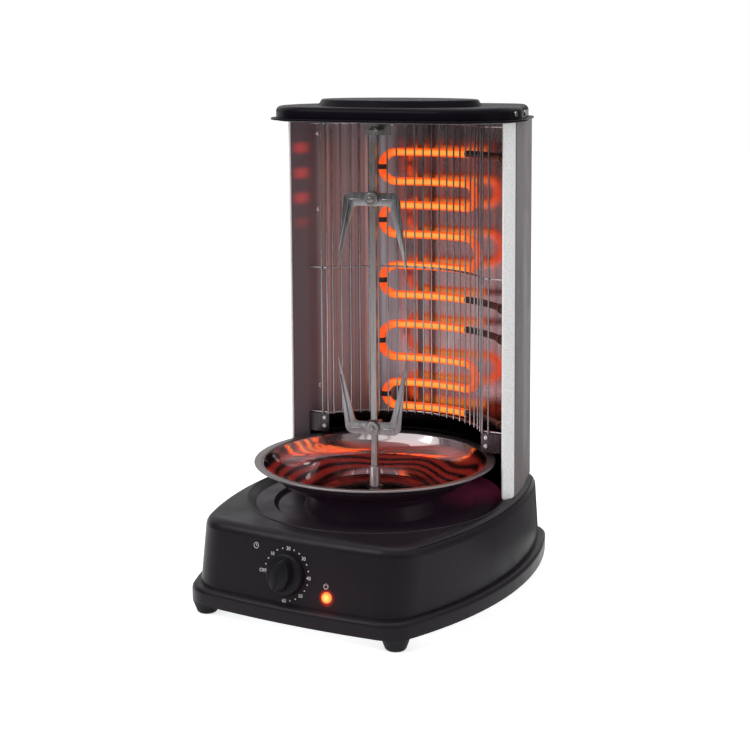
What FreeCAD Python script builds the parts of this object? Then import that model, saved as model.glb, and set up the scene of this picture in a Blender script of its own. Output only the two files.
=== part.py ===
"""Vertical electric skewer grill: a turning spit in front of a tubular heater.

Millimetres, +Z up.  The spit turns about X = Y = 0, the rest plane is Z = 0 and
the cooking side faces -Y.  Every function returns one node's solid or solids.
"""
import FreeCAD, Part
import math
import os

V = FreeCAD.Vector
Z_AXIS = V(0, 0, 1)
ORIGIN = V(0, 0, 0)

# ------------------------------------------------------------------ sizes
# Base housing
FOOT_HEIGHT = 12.0
BASE_HEIGHT = 72.5            # from the underside of the flange to the deck
BASE_HALF_WIDTH = 139.5       # flange, at its widest
BASE_FRONT = 159.7            # spit axis to the front of the flange
FRONT_BOW_R = 852.0           # plan radius of the front and rear faces
SIDE_BOW_R = 360.0            # plan radius of the side faces
SIDE_BOW_Y = 4.0              # where the side faces are widest
FLANGE_CORNER_R = 30.0
FLANGE_HEIGHT = 14.5
FLANGE_LEDGE = 7.0            # step from the flange in to the housing
FLANGE_ROUND = 4.5
DECK_FRONT_SETBACK = 11.7     # the front face leans back by this much
DECK_SIDE_SETBACK = 4.0
DECK_REAR_SETBACK = 1.5
DECK_CORNER_R = 34.0
DECK_ROUND = 10.0
BASE_WALL = 2.5
HOUSING_LAP = 1.5             # housing wall carried down into the flange
BASE_PLATE_T = 2.5
PLATE_GAP = 0.4

# Recess in the deck under the drip tray
RECESS_R = 117.7
RECESS_FOOT_R = 110.5
RECESS_DEPTH = 4.6
RECESS_STEP_R = 94.0
RECESS_STEP_FOOT_R = 90.0
RECESS_STEP_DEPTH = 3.6
PLATEAU_R = 62.0
PLATEAU_FOOT_R = 66.0
PLATEAU_RISE = 12.0           # plateau top above the recess floor

# Feet
FOOT_SIDE_INSET = 44.5        # from the widest place of the flange
FOOT_FRONT_INSET = 21.7
FOOT_REAR_INSET = 22.3
FOOT_TOP_R = 13.0
FOOT_BOTTOM_R = 8.5
FOOT_ROUND = 3.5

# Timer, knob and lamp, placed on the leaning front face
DIAL_X = -5.7
DIAL_HEIGHT = 39.0            # above the underside of the flange
KNOB_R = 18.0
KNOB_HEIGHT = 15.0
KNOB_SKIRT = 5.0
KNOB_GRIP_W = 9.0
KNOB_TOP_R = 14.0
KNOB_ROUND = 1.5
KNOB_GAP = 0.9
KNOB_REST_TURN = -12.0         # the grip at rest, from straight up the face
TIMER_SHAFT_R = 3.0
TIMER_NECK_R = 5.0
TIMER_NUT_R = 7.0
TIMER_NUT_T = 2.2
NECK_GAP = 0.2
TIMER_CASE = 42.0
TIMER_DEPTH = 26.0
LAMP_X = 35.2
LAMP_HEIGHT = 25.8
LAMP_R = 4.8
LAMP_PROUD = 2.0
LAMP_STEM = 3.0               # lens inside the wall
LAMP_HOLDER_T = 2.0
LAMP_HOLDER_LENGTH = 12.0
LAMP_TAB = (0.8, 4.0, 7.0)
LAMP_TAB_X = 2.6              # middle of each tab from the axis

# Drive: geared motor, coupler and bush
MOTOR_R = 35.0
MOTOR_HEIGHT = 20.0
MOTOR_WALL = 1.2
MOTOR_PLATE_T = 1.2
MOTOR_EAR_X = 40.0
MOTOR_DROP = 14.0             # motor plate below the underside of the plateau
GEAR_MODULE = 0.8
PINION_TEETH = 10
OUTPUT_TEETH = 40
IDLER_TEETH = 30
GEAR_FACE = 3.6
GEAR_PIN_R = 1.2
GEAR_GAP = 0.6                # between gears that lie one above another
IDLER_RISE = 2.4              # idler wheel above the rotor's magnet
OUTPUT_SHAFT_R = 3.5
ROTOR_R = 12.0
ROTOR_HEIGHT = 6.0
RUN_GAP = 0.05                # radial clearance of every running fit
COUPLER_R = 4.8
COUPLER_LENGTH = 34.0
COUPLER_BURY = 10.5           # coupler below the top of the plateau
SHAFT_GRIP = 10.0             # depth of the output shaft in the coupler
SOCKET_DEPTH = 8.0
SOCKET_GAP = 0.1
SEAT_GAP = 0.3                # between pieces that rest on each other but move apart
BUSH_WALL = 1.4
BUSH_FLANGE_R = 7.6
BUSH_FLANGE_T = 1.0

# Drip tray
TRAY_R = 111.9
TRAY_RIM_WIDTH = 8.0
TRAY_DEPTH = 30.5
TRAY_T = 0.8
TRAY_FLOOR_R = 52.0
TRAY_HOLE_R = 8.6
TRAY_BEND_RADII = (40.0, 30.0, 3.0)   # floor, wall and rim
TRAY_WALL_OUT = 12.0          # slope of the wall above its bend

# Spit and forks
SPIT_SIDE = 5.6
SPIT_TIP_R = 1.8
SPIT_TIP_LENGTH = 15.0
SPIT_SHOULDER_DROP = 12.0     # shoulder below the bearing's tongue
SPIT_REST_TURN = 12.0         # degrees about the axis, as it stands at rest
FORK_T = 2.0
FORK_HALF_SPAN = 26.0
FORK_BAR_H = 12.0
FORK_PRONG_W = 9.0
FORK_PRONG_LENGTH = 62.0
FORK_FLARE = 7.0
FORK_HUB = 12.0
FORK_SLIDE_GAP = 0.1
FORK_BEND_RADII = (7.0, 0.5, 3.0)     # outer corner, tip and inner corner
UPPER_FORK_DROP = 51.0        # hub centre below the shoulder of the spit
LOWER_FORK_RISE = 37.0        # hub centre above the top of the coupler
THUMB_R = 6.3
THUMB_T = 2.6
THUMB_SHANK_R = 2.0
THUMB_BOSS_R = 2.6
THUMB_BOSS_H = 2.4
THUMB_GAP = 0.3               # head to hub

# Cabinet
CABINET_HEIGHT = 345.5        # deck to the top plate
PANEL_T = 0.8
SHEET_GAP = 0.02
STRIP_T = 2.0
STRIP_FRONT = (113.2, 36.6)   # front edge of each edge strip
CABINET_SIDE = (119.3, 50.0)  # rear edge of the strip, the widest place
PANEL_MID = (112.5, 86.0)
PANEL_REAR_X = 101.0
PANEL_REAR_SETBACK = 22.0     # from the rear face to the last bend of the side
PANEL_REAR_TAPER = 6.5
PANEL_BOW_RADII = (150.0, 60.0)
REAR_BEND_R = 14.0
REAR_RETURN_X = 72.0
REAR_COVER_T = 0.8
REAR_COVER_LAP = 12.0
LOUVRE_COUNT = 9
LOUVRE_LENGTH = 90.0
LOUVRE_HEIGHT = 4.0
TOP_PLATE_T = 1.0

# Reflector and collar
REFLECTOR_T = 0.6
WING_BEND = (98.5, 76.0)
WING_BEND_R = 60.0
PANEL_SETBACK = 3.0           # panel and wing start this far behind the strip's front
PANEL_STEP = (0.3, 1.0, 2.6)  # joggle behind the strip: inward, along it, rearward
REFLECTOR_CORNER_X = 86.0
REFLECTOR_BEND_R = 9.0
GUARD_R = 100.0
GUARD_CORNER_ANGLE = 55.0     # degrees from the rear, where the arc meets the flange
COLLAR_T = 0.8
COLLAR_HEIGHT = 55.5          # above the deck
COLLAR_LIP = 19.0             # height of the leaning upper part
COLLAR_FOOT_R = 118.3
COLLAR_SCREW_DROPS = (4.0, 12.0)
COLLAR_SCREW_OUT = 4.0        # from the corner of the guard
WING_GAP = 0.9                # collar and rings to the reflector's wings

# Wire guard
WIRE_R = 0.8
RING_WIRE_R = 1.0
WIRE_ANGLE = 5.25
WIRE_COUNT = 21
FLANGE_WIRE_X = 89.5
GUARD_MID_HEIGHT = 200.5      # middle ring above the deck
GUARD_TOP_GAP = 4.5           # top ring below the top plate

# Heater
HEATER_R = 123.0
HEATER_WALL_GAP = 18.0        # axis of the tubes to the back of the reflector
WIRING_SPACE = 6.0            # reflector to the rear cover
HEATER_TUBE_R = 4.0
HEATER_HALF_ANGLE = 18.0
HEATER_TOP_GAP = 34.0         # first run below the top plate
UPPER_SPACING = (29.0, 23.5, 29.0, 31.0, 29.5)
ELEMENT_GAP = 29.5
LOWER_SPACING = (33.5, 25.5, 24.0)
COLD_END_R = 3.2
COLD_END_ANGLE = 49.0
INSULATOR_R = 4.5
INSULATOR_HEAD = 6.0          # inside the cabinet
INSULATOR_TAIL = 10.0         # behind the reflector
INSULATOR_PIN_R = 3.5
INSULATOR_HOLE_GAP = 0.5
STRAP_X = -17.0
STRAP_W = 6.5
STRAP_T = 1.2
STRAP_GAP = 0.2
STRAP_ABOVE = 29.0            # past the highest run
STRAP_BELOW = 12.0            # past the lowest run
CLIP_W = 5.0
CLIP_T = 0.9
CLIP_GAP = 0.1

# Spit bearing under the top plate
BRACKET_W = 27.0
BRACKET_T = 1.5
BRACKET_DROP = 11.5
BRACKET_Y = 9.0
BRACKET_FOOT = 16.0
TONGUE_DROP = 6.0
TONGUE_R = 6.0
BUSH_R = 3.4
BUSH_LENGTH = 4.0
TIP_HOLE_R = 6.0              # in the top plate, so that the spit can be lifted

# Cap
CAP_FRONT_Y = -21.3
CAP_CORNER = (124.0, -15.0)
CAP_SIDE = (125.6, 62.0)
CAP_REAR_X = 95.0
CAP_OVERHANG = 5.0            # behind the cabinet
CAP_FRONT_R = 800.0
CAP_CORNER_R = 60.0
CAP_SIDE_R = 60.0
CAP_REAR_R = 35.0
CAP_LIP = 5.0
CAP_LIP_T = 1.8
CAP_HEIGHT = 13.0
CAP_ROUND = 5.5
CAP_WALL = 2.2
CROWN_RISE = 6.0
CROWN_HALF_X = 83.0
CROWN_HALF_Y = 52.0
CROWN_Y = 50.6
CROWN_SLOPE = 4.5
CAP_SCREW_YS = (46.0, 82.0)
CAP_TAB_W = 10.0
CAP_TAB_T = 2.0
TAB_GAP = 0.3

# Screws
SCREW_R = 1.5
SCREW_HEAD_R = 3.0
SCREW_HEAD_H = 1.8
SCREW_LENGTH = 9.0
SCREW_BOSS_R = 4.5
BOSS_BITE = 0.8               # how far a boss runs into the wall beside it
BOSS_HEIGHT = 20.0
PLATE_SCREW_Y = 62.0
PLATE_SCREW_REAR_X = 60.0
REAR_SCREW_RISE = 35.0        # lowest screw above the deck
REAR_SCREW_DROP = 25.5        # highest screw below the top plate
WING_SCREW_RISE = 80.0
WING_SCREW_DROPS = (88.5, 14.0)
WING_SCREW_SHARE = 0.84       # place across the wing, from its front edge

# Cord inlet
INLET_X = 60.0
INLET_HEIGHT = 30.0           # above the underside of the flange
INLET_BORE_R = 3.6
INLET_R = 6.5
INLET_FLANGE_R = 9.0
INLET_FLANGE_T = 2.0
INLET_PROUD = 5.0
INLET_TAIL = 6.0              # barrel inside the wall

# Terminal block on the bottom plate
TERMINAL_SIZE = (28.0, 16.0, 14.0)
TERMINAL_Y = 90.0
TERMINAL_PITCH = 8.0
TERMINAL_HOLE_R = 2.0
TERMINAL_HOLE_DEPTH = 8.0

# ---------------------------------------------------------------- heights
BASE_Z = FOOT_HEIGHT
FLANGE_TOP = BASE_Z + FLANGE_HEIGHT
DECK_Z = BASE_Z + BASE_HEIGHT
RECESS_Z = DECK_Z - RECESS_DEPTH
RECESS_FLOOR_Z = RECESS_Z - RECESS_STEP_DEPTH
PLATEAU_Z = RECESS_FLOOR_Z + PLATEAU_RISE
PLATEAU_UNDER_Z = PLATEAU_Z - BASE_WALL
TOP_Z = DECK_Z + CABINET_HEIGHT
CAP_Z = TOP_Z + TOP_PLATE_T
CAP_TOP_Z = CAP_Z + CAP_HEIGHT
TRAY_FLOOR_Z = PLATEAU_Z
TRAY_RIM_Z = TRAY_FLOOR_Z + TRAY_DEPTH
MOTOR_TOP_Z = PLATEAU_UNDER_Z - MOTOR_DROP
MOTOR_Z = MOTOR_TOP_Z - MOTOR_HEIGHT
COUPLER_Z = PLATEAU_Z - COUPLER_BURY
COUPLER_TOP_Z = COUPLER_Z + COUPLER_LENGTH
SPIT_Z = COUPLER_TOP_Z - SOCKET_DEPTH + SEAT_GAP
TONGUE_Z = TOP_Z - TONGUE_DROP
SPIT_SHOULDER_Z = TONGUE_Z - SPIT_SHOULDER_DROP
GUARD_Z = DECK_Z + COLLAR_HEIGHT
BUSH_R_OUT = COUPLER_R + RUN_GAP + BUSH_WALL
MOTOR_PLATE_Z = MOTOR_TOP_Z + MOTOR_PLATE_T
HOUSING_LOW_Z = FLANGE_TOP - BASE_WALL - HOUSING_LAP
LEAN = math.atan2(DECK_FRONT_SETBACK, DECK_Z - HOUSING_LOW_Z)
REFLECTOR_CORNER = (REFLECTOR_CORNER_X, HEATER_R + HEATER_WALL_GAP)
CABINET_REAR_Y = REFLECTOR_CORNER[1] + WIRING_SPACE
PANEL_REAR = (PANEL_REAR_X, CABINET_REAR_Y - PANEL_REAR_SETBACK)
CAP_REAR = (CAP_REAR_X, CABINET_REAR_Y + CAP_OVERHANG)


# ---------------------------------------------------------------- helpers
def box(x0, y0, z0, x1, y1, z1):
    """A box between two corners."""
    return Part.makeBox(x1 - x0, y1 - y0, z1 - z0, V(x0, y0, z0))


def rod(radius, start, end):
    """A round bar from one point to another."""
    way = end - start
    return Part.makeCylinder(radius, way.Length, start, way)


def disc(radius, z0, z1, x=0.0, y=0.0):
    """An upright cylinder between two heights."""
    return Part.makeCylinder(radius, z1 - z0, V(x, y, z0))


def fuse(shapes):
    """One solid from several that touch."""
    joined = shapes[0].multiFuse(shapes[1:]) if len(shapes) > 1 else shapes[0]
    return joined.removeSplitter()


def mirrored(shape):
    """The same piece on the other side of the YZ plane."""
    return shape.mirror(ORIGIN, V(1, 0, 0))


def turned(shape, degrees):
    """The piece turned about the spit axis."""
    copy = shape.copy()
    copy.rotate(ORIGIN, Z_AXIS, degrees)
    return copy


def revolved(points):
    """A full turn of a closed (radius, z) outline about the spit axis."""
    corners = [V(radius, 0, z) for radius, z in points]
    wire = Part.makePolygon(corners + corners[:1])
    return Part.Face(wire).revolve(ORIGIN, Z_AXIS, 360)


def path_edges(points, radii, closed):
    """Lines through points, with a tangent arc of the given radius at each corner."""
    count = len(points)
    starts, ends, mids = [], [], []
    for i, point in enumerate(points):
        inner = closed or 0 < i < count - 1
        if not inner or radii[i] <= 0:
            starts.append(point)
            ends.append(point)
            mids.append(None)
            continue
        before = (points[i - 1] - point).normalize()
        after = (points[(i + 1) % count] - point).normalize()
        half = before.getAngle(after) / 2
        reach = radii[i] / math.tan(half)
        middle = (before + after).normalize()
        centre = point + middle * (radii[i] / math.sin(half))
        starts.append(point + before * reach)
        ends.append(point + after * reach)
        mids.append(centre - middle * radii[i])
    edges = []
    for i in range(count):
        if mids[i] is not None:
            edges.append(Part.Arc(starts[i], mids[i], ends[i]).toShape())
        last = i == count - 1
        if last and not closed:
            break
        target = starts[(i + 1) % count]
        if (target - ends[i]).Length > 1e-6:
            edges.append(Part.LineSegment(ends[i], target).toShape())
    return edges


def plan_points(pairs, z):
    """Plan coordinates as points at one height."""
    return [V(x, y, z) for x, y in pairs]


def shifted_path(points, distance):
    """Each leg of a plan path moved to its left by a distance, with mitred corners."""
    normals = []
    for start, end in zip(points, points[1:]):
        way = (end - start).normalize()
        normals.append(V(-way.y, way.x, 0))
    moved = [points[0] + normals[0] * distance]
    for i in range(1, len(points) - 1):
        bisector = normals[i - 1] + normals[i]
        moved.append(points[i] + bisector * (2 * distance / bisector.dot(bisector)))
    moved.append(points[-1] + normals[-1] * distance)
    return moved


def bent_sheet(pairs, radii, thickness, z0, z1):
    """Sheet metal of one thickness, to the left of a plan path, standing from z0 to z1."""
    outer = plan_points(pairs, z0)
    inner = shifted_path(outer, thickness)
    inner_radii = list(radii)
    for i in range(1, len(outer) - 1):
        if radii[i] <= 0:
            continue
        before = outer[i] - outer[i - 1]
        after = outer[i + 1] - outer[i]
        left_turn = before.x * after.y - before.y * after.x > 0
        inner_radii[i] = radii[i] - thickness if left_turn else radii[i] + thickness
    edges = path_edges(outer, radii, False)
    back = path_edges(inner, inner_radii, False)
    caps = [
        Part.LineSegment(outer[0], inner[0]).toShape(),
        Part.LineSegment(outer[-1], inner[-1]).toShape(),
    ]
    wire = Part.Wire(Part.__sortEdges__(edges + back + caps))
    return Part.Face(wire).extrude(V(0, 0, z1 - z0))


def slab(wire, height):
    """A flat wire raised to a solid."""
    return Part.Face(wire).extrude(V(0, 0, height))


def circle_meet(centre_a, reach_a, centre_b, reach_b):
    """Where two circles in plan cross, on the +X side nearest the outline's corner."""
    gap = centre_b - centre_a
    span = gap.Length
    along = (reach_a ** 2 - reach_b ** 2 + span ** 2) / (2 * span)
    off = math.sqrt(max(reach_a ** 2 - along ** 2, 0))
    way = V(gap).normalize()
    side = V(-way.y, way.x, 0)
    choices = [centre_a + way * along + side * off, centre_a + way * along - side * off]
    return max(choices, key=lambda point: point.x)


def bowed_outline(z, front, rear, half_width, corner_r, inset=0.0):
    """Four shallow arcs joined by round corners: the plan of the base at one height."""
    bow = FRONT_BOW_R - inset
    side = SIDE_BOW_R - inset
    front_c = V(0, -front + FRONT_BOW_R, z)
    rear_c = V(0, rear - FRONT_BOW_R, z)
    side_c = V(half_width - SIDE_BOW_R, SIDE_BOW_Y, z)
    front_corner = circle_meet(side_c, side - corner_r, front_c, bow - corner_r)
    rear_corner = circle_meet(side_c, side - corner_r, rear_c, bow - corner_r)

    def touch(centre, corner):
        return corner + (corner - centre).normalize() * corner_r

    front_end = touch(front_c, front_corner)
    side_start = touch(side_c, front_corner)
    side_end = touch(side_c, rear_corner)
    rear_start = touch(rear_c, rear_corner)
    front_mid = front_corner + ((front_end + side_start) * 0.5 - front_corner).normalize() * corner_r
    rear_mid = rear_corner + ((rear_start + side_end) * 0.5 - rear_corner).normalize() * corner_r
    side_mid = side_c + V(side, 0, 0)

    def flip(point):
        return V(-point.x, point.y, point.z)

    arcs = [
        (flip(front_end), V(0, -front + inset, z), front_end),
        (front_end, front_mid, side_start),
        (side_start, side_mid, side_end),
        (side_end, rear_mid, rear_start),
        (rear_start, V(0, rear - inset, z), flip(rear_start)),
        (flip(rear_start), flip(rear_mid), flip(side_end)),
        (flip(side_end), flip(side_mid), flip(side_start)),
        (flip(side_start), flip(front_mid), flip(front_end)),
    ]
    return Part.Wire([Part.Arc(*points).toShape() for points in arcs])


def edges_at(shape, z, tolerance=0.01):
    """The edges of a shape that lie wholly at one height."""
    found = []
    for edge in shape.Edges:
        bounds = edge.BoundBox
        if abs(bounds.ZMin - z) < tolerance and abs(bounds.ZMax - z) < tolerance:
            found.append(edge)
    return found


def screw(head_at, way, length=SCREW_LENGTH, head_r=SCREW_HEAD_R, head_h=SCREW_HEAD_H):
    """A round-headed screw whose head bears at a point and whose shank runs along way."""
    axis = V(way).normalize()
    head = Part.makeCylinder(head_r, head_h, head_at - axis * head_h, axis)
    rim = [edge for edge in head.Edges if (edge.CenterOfMass - (head_at - axis * head_h)).Length < 0.01]
    head = head.makeFillet(head_h * 0.6, rim)
    shank = Part.makeCylinder(SCREW_R, length, head_at, axis)
    slot = Part.makeBox(0.8, head_r * 4, head_h * 0.8, V(-0.4, -head_r * 2, -head_h * 0.4))
    slot.Placement = FreeCAD.Placement(head_at - axis * head_h, FreeCAD.Rotation(Z_AXIS, axis))
    return fuse([head, shank]).cut(slot)


def bow_sag(radius, away):
    """How far a shallow arc falls back at a distance from its middle."""
    return radius - math.sqrt(radius ** 2 - away ** 2)


# ------------------------------------------------------------- front face
def face_y(z):
    """Y of the front face on the middle line at a height."""
    share = (z - HOUSING_LOW_Z) / (DECK_Z - HOUSING_LOW_Z)
    return -(BASE_FRONT - FLANGE_LEDGE) + DECK_FRONT_SETBACK * share


def face_point(x, height):
    """A point on the bowed, leaning front face, by its height above the flange's underside."""
    z = BASE_Z + height
    return V(x, face_y(z) + bow_sag(FRONT_BOW_R, x), z)


def face_placement(x, height):
    """Local frame on the front face: x right, y up the face, z straight out of it."""
    turn = FreeCAD.Rotation(V(1, 0, 0), 90 - math.degrees(LEAN))
    return FreeCAD.Placement(face_point(x, height), turn)


def on_face(shape, x, height):
    """A piece built about the local origin, set on the front face."""
    placed = shape.copy()
    placed.Placement = face_placement(x, height).multiply(shape.Placement)
    return placed


DIAL_POINT = face_point(DIAL_X, DIAL_HEIGHT)
KNOB_FRONT_Y = DIAL_POINT.y - (KNOB_HEIGHT + KNOB_GAP) * math.cos(LEAN) - (KNOB_TOP_R - 0.8 * KNOB_ROUND) * math.sin(LEAN)
BASE_REAR = -KNOB_FRONT_Y     # so that the origin is the middle of the plan


# ------------------------------------------------------------------- base
def housing_solid(wall=0.0):
    """The housing's outer form, or its inner one when a wall is given."""
    front = BASE_FRONT - FLANGE_LEDGE
    rear = BASE_REAR - FLANGE_LEDGE
    half_width = BASE_HALF_WIDTH - FLANGE_LEDGE
    low = bowed_outline(HOUSING_LOW_Z, front, rear, half_width, DECK_CORNER_R, wall)
    top_z = DECK_Z - wall
    share = (top_z - HOUSING_LOW_Z) / (DECK_Z - HOUSING_LOW_Z)
    high = bowed_outline(
        top_z,
        front - DECK_FRONT_SETBACK * share,
        rear - DECK_REAR_SETBACK * share,
        half_width - DECK_SIDE_SETBACK * share,
        DECK_CORNER_R,
        wall,
    )
    return Part.makeLoft([low, high], True, True)


def flange_outline(z, inset=0.0):
    """Plan of the flange."""
    return bowed_outline(z, BASE_FRONT, BASE_REAR, BASE_HALF_WIDTH, FLANGE_CORNER_R, inset)


def recess_profile(drop):
    """The deck's round recess as (radius, z) points, lowered by a wall thickness."""
    return [
        (RECESS_R, DECK_Z - drop),
        (RECESS_FOOT_R, RECESS_Z - drop),
        (RECESS_STEP_R, RECESS_Z - drop),
        (RECESS_STEP_FOOT_R, RECESS_FLOOR_Z - drop),
        (PLATEAU_FOOT_R, RECESS_FLOOR_Z - drop),
        (PLATEAU_R, PLATEAU_Z - drop),
        (BUSH_R_OUT, PLATEAU_Z - drop),
    ]


def plate_screw_places():
    """Plan places of the six screws that hold the bottom plate."""
    inset = FLANGE_LEDGE + BASE_WALL + SCREW_BOSS_R - BOSS_BITE
    side_x = BASE_HALF_WIDTH - inset - bow_sag(SIDE_BOW_R, PLATE_SCREW_Y + SIDE_BOW_Y)
    rear_y = BASE_REAR - inset - bow_sag(FRONT_BOW_R, PLATE_SCREW_REAR_X)
    places = [(sx * side_x, sy * PLATE_SCREW_Y) for sx in (-1, 1) for sy in (-1, 1)]
    return places + [(sx * PLATE_SCREW_REAR_X, rear_y) for sx in (-1, 1)]


def inlet_z():
    """Height of the cord inlet's axis."""
    return BASE_Z + INLET_HEIGHT


def foot_places():
    """Plan places of the four feet."""
    places = {}
    for side, sx in (("left", -1), ("right", 1)):
        x = sx * (BASE_HALF_WIDTH - FOOT_SIDE_INSET)
        places["front_" + side] = (x, FOOT_FRONT_INSET - BASE_FRONT)
        places["rear_" + side] = (x, BASE_REAR - FOOT_REAR_INSET)
    return places


def base_shell():
    """Moulded housing with its flange, recessed deck, plateau and screw bosses."""
    flange = slab(flange_outline(BASE_Z), FLANGE_HEIGHT)
    flange = flange.makeFillet(FLANGE_ROUND, edges_at(flange, FLANGE_TOP))
    housing = housing_solid()
    housing = housing.makeFillet(DECK_ROUND, edges_at(housing, DECK_Z))
    cavity = fuse([
        slab(flange_outline(BASE_Z, BASE_WALL), FLANGE_HEIGHT - BASE_WALL),
        housing_solid(BASE_WALL),
    ])
    walls = fuse([flange, housing]).cut(cavity)
    walls = walls.cut(disc(RECESS_R, PLATEAU_UNDER_Z - MOTOR_DROP, DECK_Z + 1))
    floor = revolved(recess_profile(0) + recess_profile(BASE_WALL)[::-1])
    pieces = [walls, floor]
    for x, y in plate_screw_places():
        boss = disc(SCREW_BOSS_R, BASE_Z + BASE_PLATE_T, BASE_Z + BASE_PLATE_T + BOSS_HEIGHT, x, y)
        pieces.append(boss)
    for sx in (-1, 1):
        pieces.append(disc(SCREW_BOSS_R, MOTOR_PLATE_Z, PLATEAU_UNDER_Z, sx * MOTOR_EAR_X, 0))
    shell = fuse(pieces)
    pilots = []
    for x, y in plate_screw_places():
        pilots.append(disc(SCREW_R, BASE_Z, BASE_Z + BASE_PLATE_T + SCREW_LENGTH, x, y))
    for sx in (-1, 1):
        pilots.append(disc(SCREW_R, MOTOR_TOP_Z, MOTOR_TOP_Z + SCREW_LENGTH, sx * MOTOR_EAR_X, 0))
    cuts = pilots + [
        on_face(rod(TIMER_NECK_R + NECK_GAP, V(0, 0, -BASE_WALL * 2), V(0, 0, 2)), DIAL_X, DIAL_HEIGHT),
        on_face(rod(LAMP_R, V(0, 0, -BASE_WALL * 2), V(0, 0, 2)), LAMP_X, LAMP_HEIGHT),
        rod(INLET_R, V(INLET_X, BASE_REAR, inlet_z()), V(INLET_X, housing_rear_y(inlet_z()) - INLET_TAIL, inlet_z())),
    ]
    return shell.cut(Part.makeCompound(cuts)).removeSplitter()


def base_plate():
    """Bottom plate inside the flange, with vents, screw holes and a boss over each foot."""
    plate = slab(flange_outline(BASE_Z, BASE_WALL + PLATE_GAP), BASE_PLATE_T)
    pieces = [plate]
    cuts = []
    for x, y in foot_places().values():
        pieces.append(disc(SCREW_BOSS_R, BASE_Z + BASE_PLATE_T, BASE_Z + SCREW_LENGTH - 1.0, x, y))
        cuts.append(disc(SCREW_R, BASE_Z, BASE_Z + SCREW_LENGTH, x, y))
    for x, y in plate_screw_places():
        cuts.append(disc(SCREW_R, BASE_Z, BASE_Z + BASE_PLATE_T, x, y))
    slot_pitch = MOTOR_R / 4
    for i in range(-3, 4):
        cuts.append(box(i * slot_pitch - 1.5, -MOTOR_R, BASE_Z, i * slot_pitch + 1.5, MOTOR_R,
                        BASE_Z + BASE_PLATE_T))
    return fuse(pieces).cut(Part.makeCompound(cuts))


def foot(x, y):
    """One rubber foot with its screw recess."""
    body = Part.makeCone(FOOT_BOTTOM_R, FOOT_TOP_R, FOOT_HEIGHT, V(x, y, 0))
    body = body.makeFillet(FOOT_ROUND, edges_at(body, 0))
    recess = disc(SCREW_HEAD_R + 0.6, 0, foot_seat_z(), x, y)
    return body.cut(recess).cut(disc(SCREW_R, foot_seat_z(), FOOT_HEIGHT, x, y))


def foot_seat_z():
    """Where a foot's screw head bears inside it."""
    return FOOT_HEIGHT - BASE_PLATE_T - 1.0


def foot_screws():
    """The four screws that hold the feet."""
    length = FOOT_HEIGHT + BASE_PLATE_T + 4.0 - foot_seat_z()
    return [screw(V(x, y, foot_seat_z()), Z_AXIS, length) for x, y in foot_places().values()]


def plate_screws():
    """The six screws of the bottom plate."""
    return [screw(V(x, y, BASE_Z), Z_AXIS) for x, y in plate_screw_places()]


def timer_case():
    """Clockwork timer behind the front wall, with the neck that passes through it."""
    half = TIMER_CASE / 2
    front = -BASE_WALL - 1.5
    case = Part.makeBox(TIMER_CASE, TIMER_CASE, TIMER_DEPTH, V(-half, -half, front - TIMER_DEPTH))
    corners = [edge for edge in case.Edges if abs(edge.tangentAt(edge.FirstParameter).z) > 0.9]
    case = case.makeFillet(3.0, corners)
    shoulder = rod(TIMER_NUT_R, V(0, 0, front), V(0, 0, -BASE_WALL - 0.05))
    neck = rod(TIMER_NECK_R, V(0, 0, front), V(0, 0, TIMER_NUT_T))
    bore = rod(TIMER_SHAFT_R + RUN_GAP, V(0, 0, front - TIMER_DEPTH + 2.0), V(0, 0, TIMER_NUT_T + 1.0))
    return on_face(fuse([case, shoulder, neck]).cut(bore), DIAL_X, DIAL_HEIGHT)


def timer_nut():
    """Hexagonal nut that clamps the timer's neck, hidden under the knob."""
    corners = []
    for i in range(6):
        angle = math.radians(60 * i)
        corners.append(V(TIMER_NUT_R * math.cos(angle), TIMER_NUT_R * math.sin(angle), 0.1))
    nut = slab(Part.makePolygon(corners + corners[:1]), TIMER_NUT_T - 0.1)
    return on_face(nut.cut(rod(TIMER_NECK_R, V(0, 0, -1), V(0, 0, TIMER_NUT_T + 1))), DIAL_X, DIAL_HEIGHT)


def timer_shaft():
    """Steel shaft from the timer to the knob."""
    shaft = rod(TIMER_SHAFT_R, V(0, 0, -BASE_WALL - TIMER_DEPTH / 2), V(0, 0, KNOB_GAP + KNOB_HEIGHT - 4.0))
    return on_face(shaft, DIAL_X, DIAL_HEIGHT)


def timer_knob():
    """Round knob with a raised grip bar and a pointer line."""
    base = Part.makeCone(KNOB_R, KNOB_R - 0.8, KNOB_SKIRT, V(0, 0, KNOB_GAP), Z_AXIS)
    base = base.makeFillet(1.2, edges_at(base, KNOB_GAP + KNOB_SKIRT))
    drum = Part.makeCone(KNOB_TOP_R + 1.5, KNOB_TOP_R, KNOB_HEIGHT - KNOB_SKIRT, V(0, 0, KNOB_GAP + KNOB_SKIRT))
    bar = Part.makeBox(KNOB_GRIP_W, KNOB_R * 2, KNOB_HEIGHT, V(-KNOB_GRIP_W / 2, -KNOB_R, KNOB_GAP + KNOB_SKIRT))
    bar.rotate(V(0, 0, 0), Z_AXIS, KNOB_REST_TURN)
    grip = drum.common(bar)
    grip = grip.makeFillet(KNOB_ROUND, edges_at(grip, KNOB_GAP + KNOB_HEIGHT))
    bore = rod(TIMER_SHAFT_R, V(0, 0, 0), V(0, 0, KNOB_GAP + KNOB_HEIGHT - 4.0))
    nut_room = rod(TIMER_NUT_R + 0.8, V(0, 0, 0), V(0, 0, TIMER_NUT_T + 0.8))
    return on_face(fuse([base, grip]).cut(bore).cut(nut_room), DIAL_X, DIAL_HEIGHT)


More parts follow.
